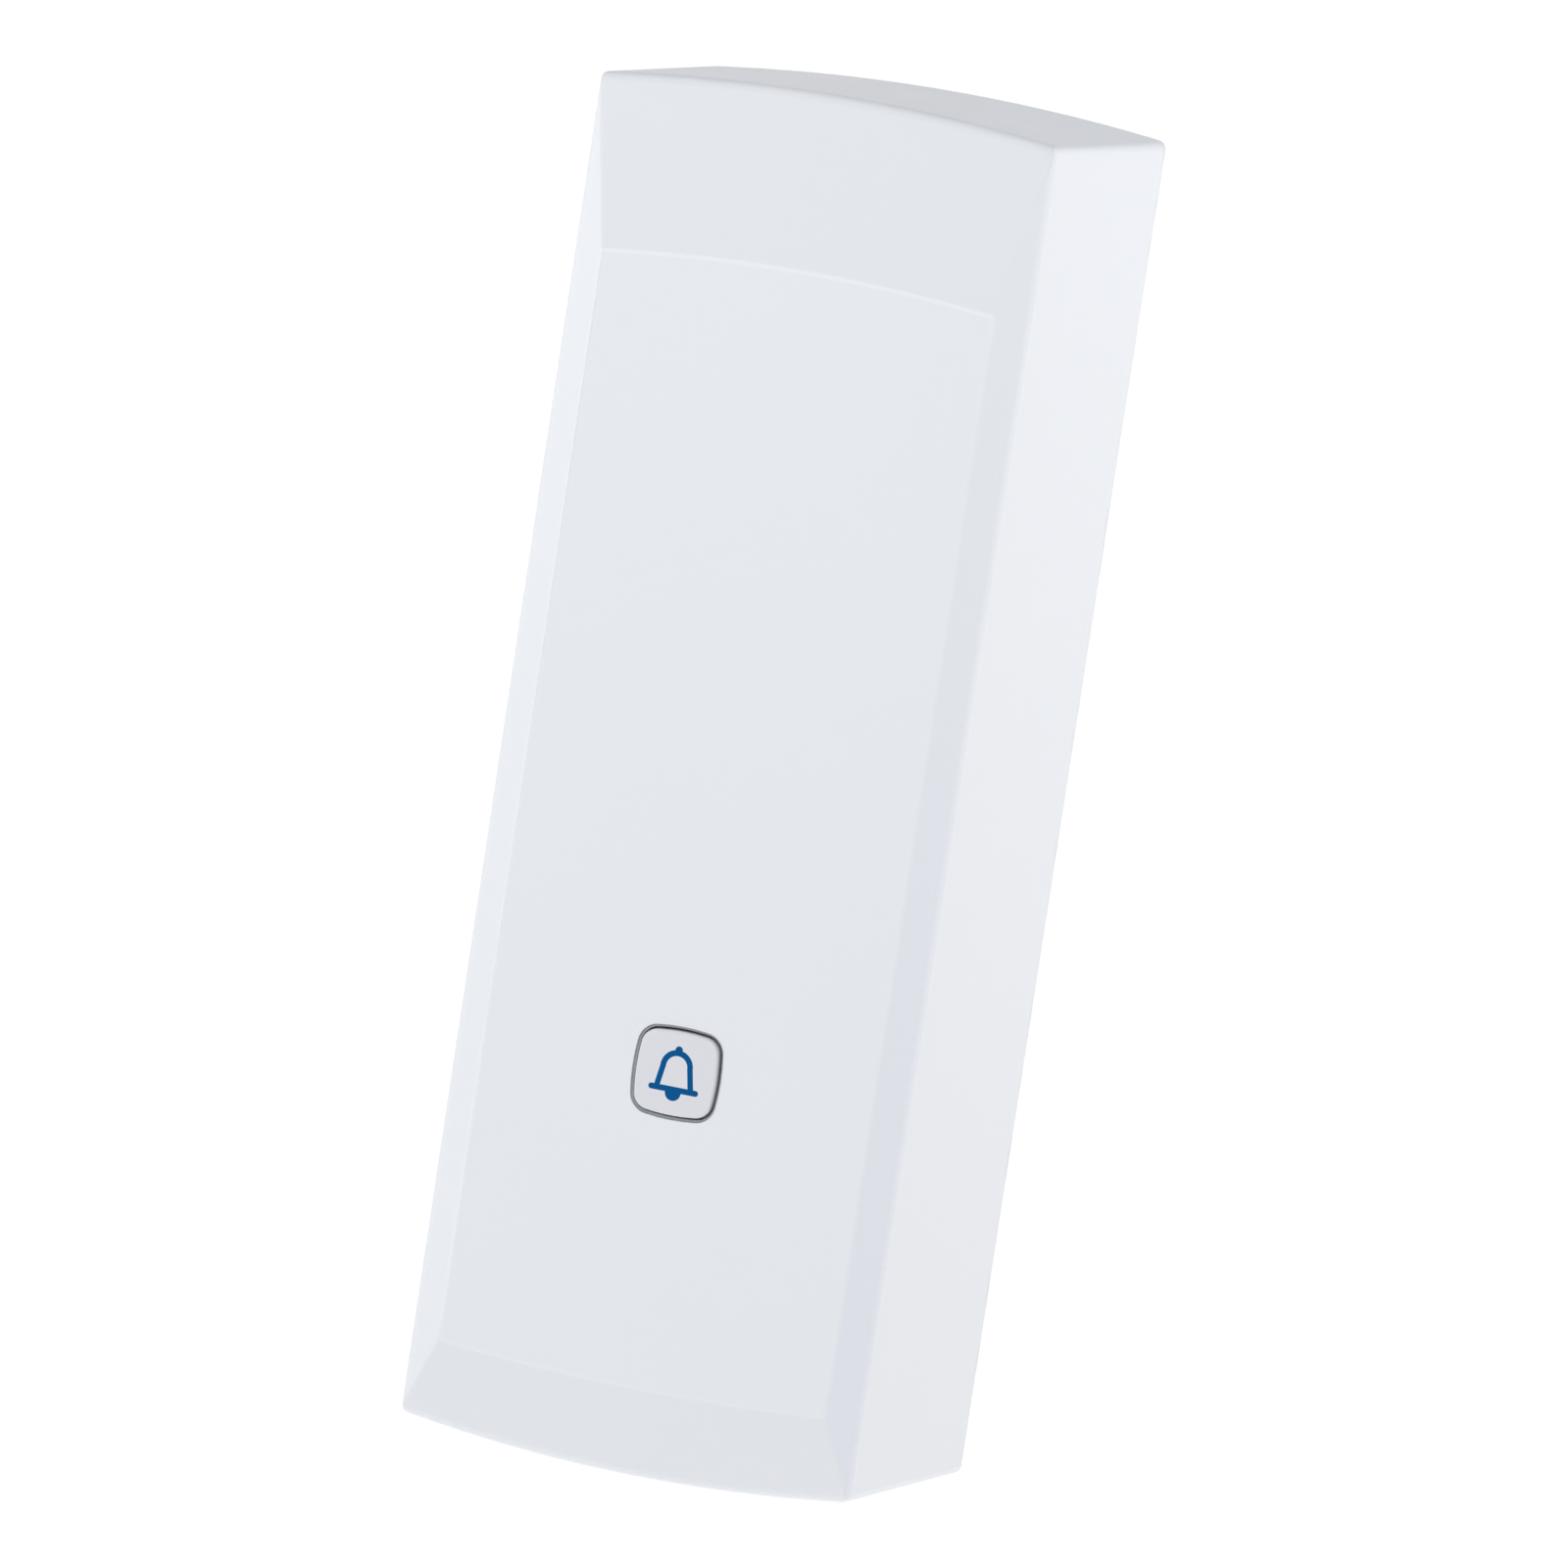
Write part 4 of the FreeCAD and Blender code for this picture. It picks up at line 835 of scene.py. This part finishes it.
def switch_metal():
    """Four bent legs, and a thin plate round the plunger with a dome over each rivet."""
    low, high = box_mm("switch_body")
    centre = (low + high) / 2
    leg = ribbon([(-0.05, 1.2), (0.22, 1.2), (0.36, 1.12), (0.42, 0.95), (0.42, 0.02)], 0.7, 0.2, 8)
    origins = [(side, high[1], centre[2] + rise)
               for side in (low[0], high[0]) for rise in (-LEG_PITCH_HALF, LEG_PITCH_HALF)]
    axes = [(BACK_X, BACK_Y, Z)] * 2 + [(X, BACK_Y, Z)] * 2
    legs = placed(leg, origins, axes)
    edge = [(0.0, 0.0), (0.0, 0.09), (0.04, 0.12), (0.96, 0.12), (1.0, 0.09), (1.0, 0.0)]
    inner = superellipse(1.86, 1.86, 2.0, 48)
    outer = superellipse(2.72, 2.72, 7.0, 48)
    plate = np.zeros((len(edge), 48, 3))
    for ring, (share, height) in enumerate(edge):
        plate[ring, :, :2] = inner * (1 - share) + outer * share
        plate[ring, :, 2] = height
    top = (centre[0], low[1], centre[2])
    rivet = lathe([(0.34, 0.0), (0.32, 0.07), (0.22, 0.13), (0.08, 0.16)], 12)
    rivets = [(centre[0] + x, low[1] - 0.11, centre[2] + z)
              for x in (-RIVET_HALF, RIVET_HALF) for z in (-RIVET_HALF, RIVET_HALF)]
    add_piece("switch_metal", [(legs, False), (placed(plate, [top], [TO_VISITOR]), True),
                               (placed(rivet, rivets, [TO_VISITOR] * 4), False)],
              metal("switch_steel", (0.62, 0.61, 0.60), 0.28, 0.25))


def solder_joints(detail):
    """Bell-shaped joints: radius falls quickly and then slowly as the height rises to the leg."""
    foot = detail.solder_radius / MM
    rise = np.linspace(0.0, 1.0, 9)
    profile = np.stack([foot * (0.3 + 0.7 * (1 - rise) ** 2.4), rise], axis=-1)
    profile = np.concatenate([profile, [(foot * 0.2, 1.06)]])
    shape = lathe(profile, 20)
    board_low, board_high = box_mm("main_board")
    can_low, can_high = box_mm("board_capacitors")
    radius = (can_high[0] - can_low[0]) / 2
    can_x = (can_low[0] + can_high[0]) / 2
    header_low, header_high = box_mm("battery_connector")
    header = (header_low + header_high) / 2
    front = board_low[1]
    places = [(can_x + side, front, z) for z in (can_low[2] + radius, can_high[2] - radius)
              for side in (-CAN_LEG_HALF, CAN_LEG_HALF)]
    places += [(header[0] + side, front, header[2])
               for side in (-HEADER_PIN_HALF, HEADER_PIN_HALF)]
    switch_low, switch_high = box_mm("switch_body")
    middle = (switch_low[2] + switch_high[2]) / 2
    behind = [(side, board_high[1], middle + offset)
              for side in (switch_low[0] - LEG_REACH, switch_high[0] + LEG_REACH)
              for offset in (-LEG_PITCH_HALF, LEG_PITCH_HALF)]
    add_piece("solder_joints", [(placed(shape, places, [TO_VISITOR] * len(places)), False),
                                (placed(shape, behind, [TO_WALL] * len(behind)), False)],
              metal("solder", (0.74, 0.74, 0.75), 0.16, 0.5))


def clear_of(spots, node, margin):
    """True where a spot (x, z) is farther than margin outside a node's box."""
    low, high = box_mm(node)
    return ~((spots > low[[0, 2]] - margin) & (spots < high[[0, 2]] + margin)).all(axis=1)


def small_parts(detail):
    """Chip resistors and capacitors scattered on a lattice, each with two tinned ends."""
    rng = np.random.default_rng(SCATTER_SEED)
    length = detail.part_length / MM
    board_low, board_high = box_mm("main_board")
    edge_margin, lattice, scatter = 3.4, 2.7, 0.25
    beside, through, round_switch, corner_size = 2.4, 1.0, 2.6, 7
    mounted = {"wall": ("controller_chip", "radio_board", "board_capacitors", "battery_connector"),
               "visitor": ("button_guide", "switch_body", "status_led")}
    bodies = []
    ends = []
    for side, nodes in mounted.items():
        x, z = np.meshgrid(
            np.arange(board_low[0] + edge_margin, board_high[0] - edge_margin, lattice),
            np.arange(board_low[2] + edge_margin, board_high[2] - edge_margin, lattice))
        spots = np.stack([x.ravel(), z.ravel()], axis=-1)
        spots = spots + rng.uniform(-scatter, scatter, spots.shape)
        free = ~((np.abs(spots[:, 0]) > board_high[0] - corner_size) & (
            np.minimum(spots[:, 1] - board_low[2], board_high[2] - spots[:, 1]) < corner_size))
        for node in nodes:
            free &= clear_of(spots, node, beside)
        for node in ("board_capacitors", "battery_connector"):
            free &= clear_of(spots, node, through)
        free &= clear_of(spots, "switch_body", round_switch)
        spots = spots[free]
        spots = spots[rng.permutation(len(spots))[:detail.part_count]]
        upright = rng.random(len(spots)) < 0.5
        face = board_high[1] + 0.24 if side == "wall" else board_low[1] - 0.24
        centres = np.stack([spots[:, 0], np.full(len(spots), face), spots[:, 1]], axis=-1)
        axes = np.where(upright[:, None, None], np.array((Z, X, Y)), np.array((X, BACK_Z, Y)))
        bodies.append((placed(bar(length * 0.86, 0.78, 0.42, 12), centres, axes), False))
        for sign in (-1, 1):
            shifted = centres + axes[:, 0] * sign * length * 0.38
            ends.append((placed(bar(length * 0.26, 0.84, 0.48, 12), shifted, axes), False))
    add_piece("small_part_bodies", bodies, small_part_finish())
    add_piece("small_part_ends", ends, metal("part_tin", (0.72, 0.72, 0.71), 0.22, 0.15))


def cell_trim(detail):
    """Paper washer round each nub, and the film's rolled lip round both ends of each cell."""
    lip = detail.film_lip / MM
    nub_height = 1.2
    washers = []
    lips = []
    for node in BATTERY_CELLS:
        low, high = box_mm(node)
        centre = (low + high) / 2
        radius = (high[0] - low[0]) / 2
        up = Z if node in CELLS_POINTING_UP else BACK_Z
        frame_axes = (X, Y, up)
        positive = high[2] if up is Z else low[2]
        shoulder = positive - up[2] * nub_height
        bottom = low[2] if up is Z else high[2]
        outer = radius - 1.6
        inner = outer - detail.washer_width / MM
        washer = lathe([(inner, 0.0), (inner, 0.16), (inner + 0.06, 0.2), (outer - 0.06, 0.2),
                        (outer, 0.16), (outer, 0.0)], 64)
        washers.append((placed(washer, [(centre[0], centre[1], shoulder)], [frame_axes]), True))
        turn = np.linspace(0, 2 * np.pi, 12, endpoint=False)
        roll = np.stack([radius - 0.6 + lip * np.cos(turn), lip * np.sin(turn)], axis=-1)
        for end, inward in ((shoulder, -up[2]), (bottom, up[2])):
            lips.append((placed(lathe(roll, 64), [(centre[0], centre[1], end + inward * 0.1)],
                                [frame_axes]), True))
    add_piece("cell_washers", washers, moulded("washer_card", (0.72, 0.70, 0.66), 0.8, 0.2, 0.02))
    add_piece("cell_film_lips", lips, moulded("film_edge", (0.30, 0.32, 0.35), 0.35, 0.3, 0.01))


def wire_ends():
    """Coax plug on the radio board, and solder on the antenna strip and on the two contact tabs."""
    tin = metal("wire_solder", (0.74, 0.74, 0.75), 0.18, 0.5)
    cable_low, cable_high = box_mm("antenna_cable")
    radio_back = box_mm("radio_board")[1][1]
    shield_top = box_mm("radio_shield")[1][2]
    strip_back = box_mm("antenna_patch")[1][1]
    plug = lathe([(1.0, 0.0), (1.05, 0.08), (1.05, 0.3), (0.92, 0.36), (0.92, 0.82), (1.0, 0.88),
                  (1.0, 1.02), (0.9, 1.12), (0.55, 1.15), (0.45, 1.08), (0.15, 1.08)], 32)
    place = (cable_high[0] - CABLE_RADIUS, radio_back, shield_top + PLUG_RISE)
    add_piece("cable_plug", [(placed(plug, [place], [TO_WALL]), False)],
              metal("plug_gold", (0.80, 0.62, 0.28), 0.2, 0.2))
    dab = lathe([(1.35, 0.0), (1.25, 0.12), (1.05, 0.4), (0.8, 0.75), (0.5, 1.02),
                 (0.15, 1.12)], 24)
    spot = (cable_low[0] + CABLE_RADIUS, strip_back, cable_high[2] - DAB_DROP)
    dabs = placed(dab, [spot], [TO_WALL])
    bead = lathe([(0.2, -0.95), (0.62, -0.75), (0.86, -0.3), (0.92, 0.1), (0.84, 0.5), (0.7, 0.8),
                  (0.66, 0.95)], 24)
    beads = []
    for node in ("battery_lead_red", "battery_lead_black"):
        low, high = box_mm(node)
        outer = high[0] if (low[0] + high[0]) > 0 else low[0]
        centre = outer - math.copysign(LEAD_RADIUS, outer)
        place = (centre, high[1] - 0.1, high[2] - LEAD_RADIUS)
        beads.append((placed(bead, [place], [TO_VISITOR]), False))
    add_piece("wire_solder", [(dabs, False)] + beads, tin)


# ---- Operators -------------------------------------------------------------------------------
class DOORBELL_OT_cover(bpy.types.Operator):
    """Finish the front cover."""
    bl_idname = "doorbell.cover"
    bl_label = "Front cover"

    def execute(self, context):
        give(housing_finish(context.scene.doorbell_finish), "front_cover")
        return {"FINISHED"}


class DOORBELL_OT_button(bpy.types.Operator):
    """Finish the button cap, its sign, the seal round it and the guide behind it."""
    bl_idname = "doorbell.button"
    bl_label = "Button"

    def execute(self, context):
        finish = context.scene.doorbell_finish
        give(moulded("cap_white", finish.cap, 0.34, 0.3, 0.003, 0.008), "button_cap")
        give(sign_finish(finish), "button_sign")
        give(rubber("seal_grey", finish.seal, 0.62, 0.12), "button_seal")
        give(moulded("guide_white", shade(finish.inner, 0.97), 0.55, 0.22, 0.02), "button_guide")
        return {"FINISHED"}


class DOORBELL_OT_back(bpy.types.Operator):
    """Finish the wall bracket, base tray, battery door, foam and gasket."""
    bl_idname = "doorbell.back"
    bl_label = "Bracket, tray and door"

    def execute(self, context):
        inner = context.scene.doorbell_finish.inner

        def ejector_marks(sheet):
            return sheet.dots(23.0, 2.4, 0.12) - sheet.dots(23.0, 2.2, 0.12)

        give(moulded("bracket_white", inner, 0.56, 0.3, 0.02, 0.03, ejector_marks), "wall_bracket")
        give(moulded("tray_white", shade(inner, 1.03), 0.5, 0.26, 0.016, 0.03, ejector_marks),
             "base_tray")
        give(moulded("door_white", shade(inner, 1.02), 0.46, 0.24, 0.014, 0.03), "battery_door")
        give(foam_finish(), "door_foam")
        give(rubber("gasket_black", (0.02, 0.02, 0.022), 0.7, 0.25), "case_gasket")
        return {"FINISHED"}


class DOORBELL_OT_screws(bpy.types.Operator):
    """Finish the screws, contacts and springs."""
    bl_idname = "doorbell.screws"
    bl_label = "Screws and contacts"

    def execute(self, context):
        give(metal("screw_steel", (0.60, 0.61, 0.63), 0.27, 0.18),
             "cover_screws", "guide_screws", "board_screws")
        give(metal("contact_nickel", (0.70, 0.67, 0.60), 0.2, 0.22, 0.8),
             "bridge_contact", "negative_contact", "positive_contact", "contact_springs")
        return {"FINISHED"}


class DOORBELL_OT_cells(bpy.types.Operator):
    """Finish the battery cells and add their washers and film lips."""
    bl_idname = "doorbell.cells"
    bl_label = "Battery cells"

    def execute(self, context):
        for node in BATTERY_CELLS:
            give(cell_finish(node, tuple(context.scene.doorbell_finish.film)), node)
        cell_trim(context.scene.doorbell_detail)
        return {"FINISHED"}


class DOORBELL_OT_boards(bpy.types.Operator):
    """Finish both boards and what is mounted on them."""
    bl_idname = "doorbell.boards"
    bl_label = "Boards"

    def execute(self, context):
        finish = context.scene.doorbell_finish
        give(board_finish("board_green", tuple(finish.board), 0.9), "main_board")
        give(board_finish("radio_green", tuple(finish.radio), 0.55), "radio_board")
        give(shield_finish(), "radio_shield")
        give(chip_finish(), "controller_chip")
        give(can_finish(), "board_capacitors")
        give(lamp_finish(), "status_led")
        give(moulded("switch_black", (0.02, 0.02, 0.021), 0.45, 0.15, 0.012, 0.2), "switch_body")
        give(moulded("plunger_grey", (0.12, 0.12, 0.13), 0.4, 0.15, 0.01, 0.1), "switch_plunger")
        give(moulded("connector_cream", (0.62, 0.55, 0.38), 0.42, 0.2, 0.012, 0.06),
             "battery_connector")
        return {"FINISHED"}


class DOORBELL_OT_small_parts(bpy.types.Operator):
    """Add chip pins, resistors, solder joints and the switch's metalwork."""
    bl_idname = "doorbell.small_parts"
    bl_label = "Small parts"

    def execute(self, context):
        detail = context.scene.doorbell_detail
        chip_pins(detail)
        switch_metal()
        solder_joints(detail)
        small_parts(detail)
        return {"FINISHED"}


class DOORBELL_OT_wires(bpy.types.Operator):
    """Finish the leads and the antenna, and add their ends."""
    bl_idname = "doorbell.wires"
    bl_label = "Leads and antenna"

    def execute(self, context):
        give(insulation("lead_red", (0.45, 0.02, 0.02)), "battery_lead_red")
        give(insulation("lead_black", (0.015, 0.015, 0.016)), "battery_lead_black", "antenna_cable")
        give(antenna_finish(), "antenna_patch")
        wire_ends()
        return {"FINISHED"}


def add_softbox(name, place, size, radiance):
    """Rectangular softbox that faces the doorbell; its power is pi times radiance times area."""
    light = bpy.data.lights.new(name, "AREA")
    light.shape = "RECTANGLE"
    light.size, light.size_y = size
    light.energy = radiance * math.pi * size[0] * size[1]
    lamp = bpy.data.objects.new(name, light)
    lamp.location = place
    lamp.rotation_mode = "QUATERNION"
    lamp.rotation_quaternion = (-Vector(place)).to_track_quat("-Z", "Y")
    lamp.visible_camera = False
    bpy.context.scene.collection.objects.link(lamp)


def studio_world(stage):
    """Pale sky with a brighter band round the horizon, so that the floor shows no edge."""
    world = bpy.data.worlds.new("studio")
    sky = NodeTree(world)
    direction = sky.add("ShaderNodeTexCoord", {}, {}, "Generated")
    upward = abs(sky.add("ShaderNodeSeparateXYZ", {}, {0: direction}, 2))
    blend = upward.rise(HORIZON_BAND, HORIZON_FADE)
    strength = blend * (stage.sky - stage.horizon) + stage.horizon
    background = sky.add("ShaderNodeBackground", {}, {"Color": NO_TINT, "Strength": strength})
    sky.add("ShaderNodeOutputWorld", {}, {"Surface": background})
    return world


class DOORBELL_OT_stage(bpy.types.Operator):
    """Set up the camera, floor, sky and softboxes."""
    bl_idname = "doorbell.stage"
    bl_label = "Stage"

    def execute(self, context):
        stage = context.scene.doorbell_stage
        level = cad_box[0][2] - stage.floor_drop
        corners = [(x * FLOOR_HALF, y * FLOOR_HALF, level)
                   for x, y in ((-1, -1), (1, -1), (1, 1), (-1, 1))]
        mesh = bpy.data.meshes.new("floor")
        mesh.from_pydata(corners, [], [(0, 1, 2, 3)])
        sheet = Sheet("floor_paper")
        mesh.materials.append(sheet.finish(Base_Color=tuple(stage.floor), Roughness=0.9,
                                           Emission_Color=(1.0, 1.0, 1.0),
                                           Emission_Strength=stage.floor_glow,
                                           Normal=sheet.bump(sheet.noise(4.0, 3.0), 0.02)))
        floor = bpy.data.objects.new("floor", mesh)
        context.scene.collection.objects.link(floor)

        context.scene.world = studio_world(stage)
        for side, (place, size) in SOFTBOXES.items():
            add_softbox("softbox_" + side, place, size, getattr(stage, side))

        camera_data = bpy.data.cameras.new("camera")
        camera_data.sensor_width = SENSOR_WIDTH
        camera_data.lens = stage.lens
        camera_data.clip_start = CLIP_START
        camera_data.clip_end = CLIP_END
        camera = bpy.data.objects.new("camera", camera_data)
        context.scene.collection.objects.link(camera)
        flat = math.cos(stage.elevation)
        back = Vector((math.sin(stage.azimuth) * flat, -math.cos(stage.azimuth) * flat,
                       math.sin(stage.elevation)))
        camera.rotation_mode = "QUATERNION"
        level_turn = (-back).to_track_quat("-Z", "Y").to_matrix().to_4x4()
        turn = level_turn @ Matrix.Rotation(stage.roll, 4, "Z")
        camera.location = Vector(stage.aim) + back * stage.distance
        camera.rotation_quaternion = turn.to_quaternion()
        context.scene.camera = camera
        context.scene.view_settings.view_transform = "Standard"
        context.scene.view_settings.look = "None"
        return {"FINISHED"}


OPERATORS = (DOORBELL_OT_cover, DOORBELL_OT_button, DOORBELL_OT_back, DOORBELL_OT_screws,
             DOORBELL_OT_cells, DOORBELL_OT_boards, DOORBELL_OT_small_parts, DOORBELL_OT_wires,
             DOORBELL_OT_stage)


class DOORBELL_PT_panel(bpy.types.Panel):
    """Doorbell's colours, sizes and steps."""
    bl_idname = "DOORBELL_PT_panel"
    bl_label = "Wireless Doorbell Unit"
    bl_space_type = "VIEW_3D"
    bl_region_type = "UI"
    bl_category = "Doorbell"

    def draw(self, context):
        for group in (context.scene.doorbell_finish, context.scene.doorbell_detail,
                      context.scene.doorbell_stage):
            column = self.layout.column()
            for name in group.__annotations__:
                column.prop(group, name)
        for operator in OPERATORS:
            self.layout.operator(operator.bl_idname)


PROPERTY_GROUPS = {"doorbell_finish": DoorbellFinish, "doorbell_detail": DoorbellDetail,
                   "doorbell_stage": DoorbellStage}
CLASSES = (*PROPERTY_GROUPS.values(), *OPERATORS, DOORBELL_PT_panel)


def register():
    for kind in CLASSES:
        bpy.utils.register_class(kind)
    for name, group in PROPERTY_GROUPS.items():
        setattr(bpy.types.Scene, name, bpy.props.PointerProperty(type=group))


def unregister():
    for name in PROPERTY_GROUPS:
        delattr(bpy.types.Scene, name)
    for kind in reversed(CLASSES):
        bpy.utils.unregister_class(kind)


def main():
    """Makes every piece and the stage."""
    register()
    bpy.ops.doorbell.cover()
    bpy.ops.doorbell.button()
    bpy.ops.doorbell.back()
    bpy.ops.doorbell.screws()
    bpy.ops.doorbell.cells()
    bpy.ops.doorbell.boards()
    bpy.ops.doorbell.small_parts()
    bpy.ops.doorbell.wires()
    bpy.ops.doorbell.stage()


if __name__ == "__main__":
    main()
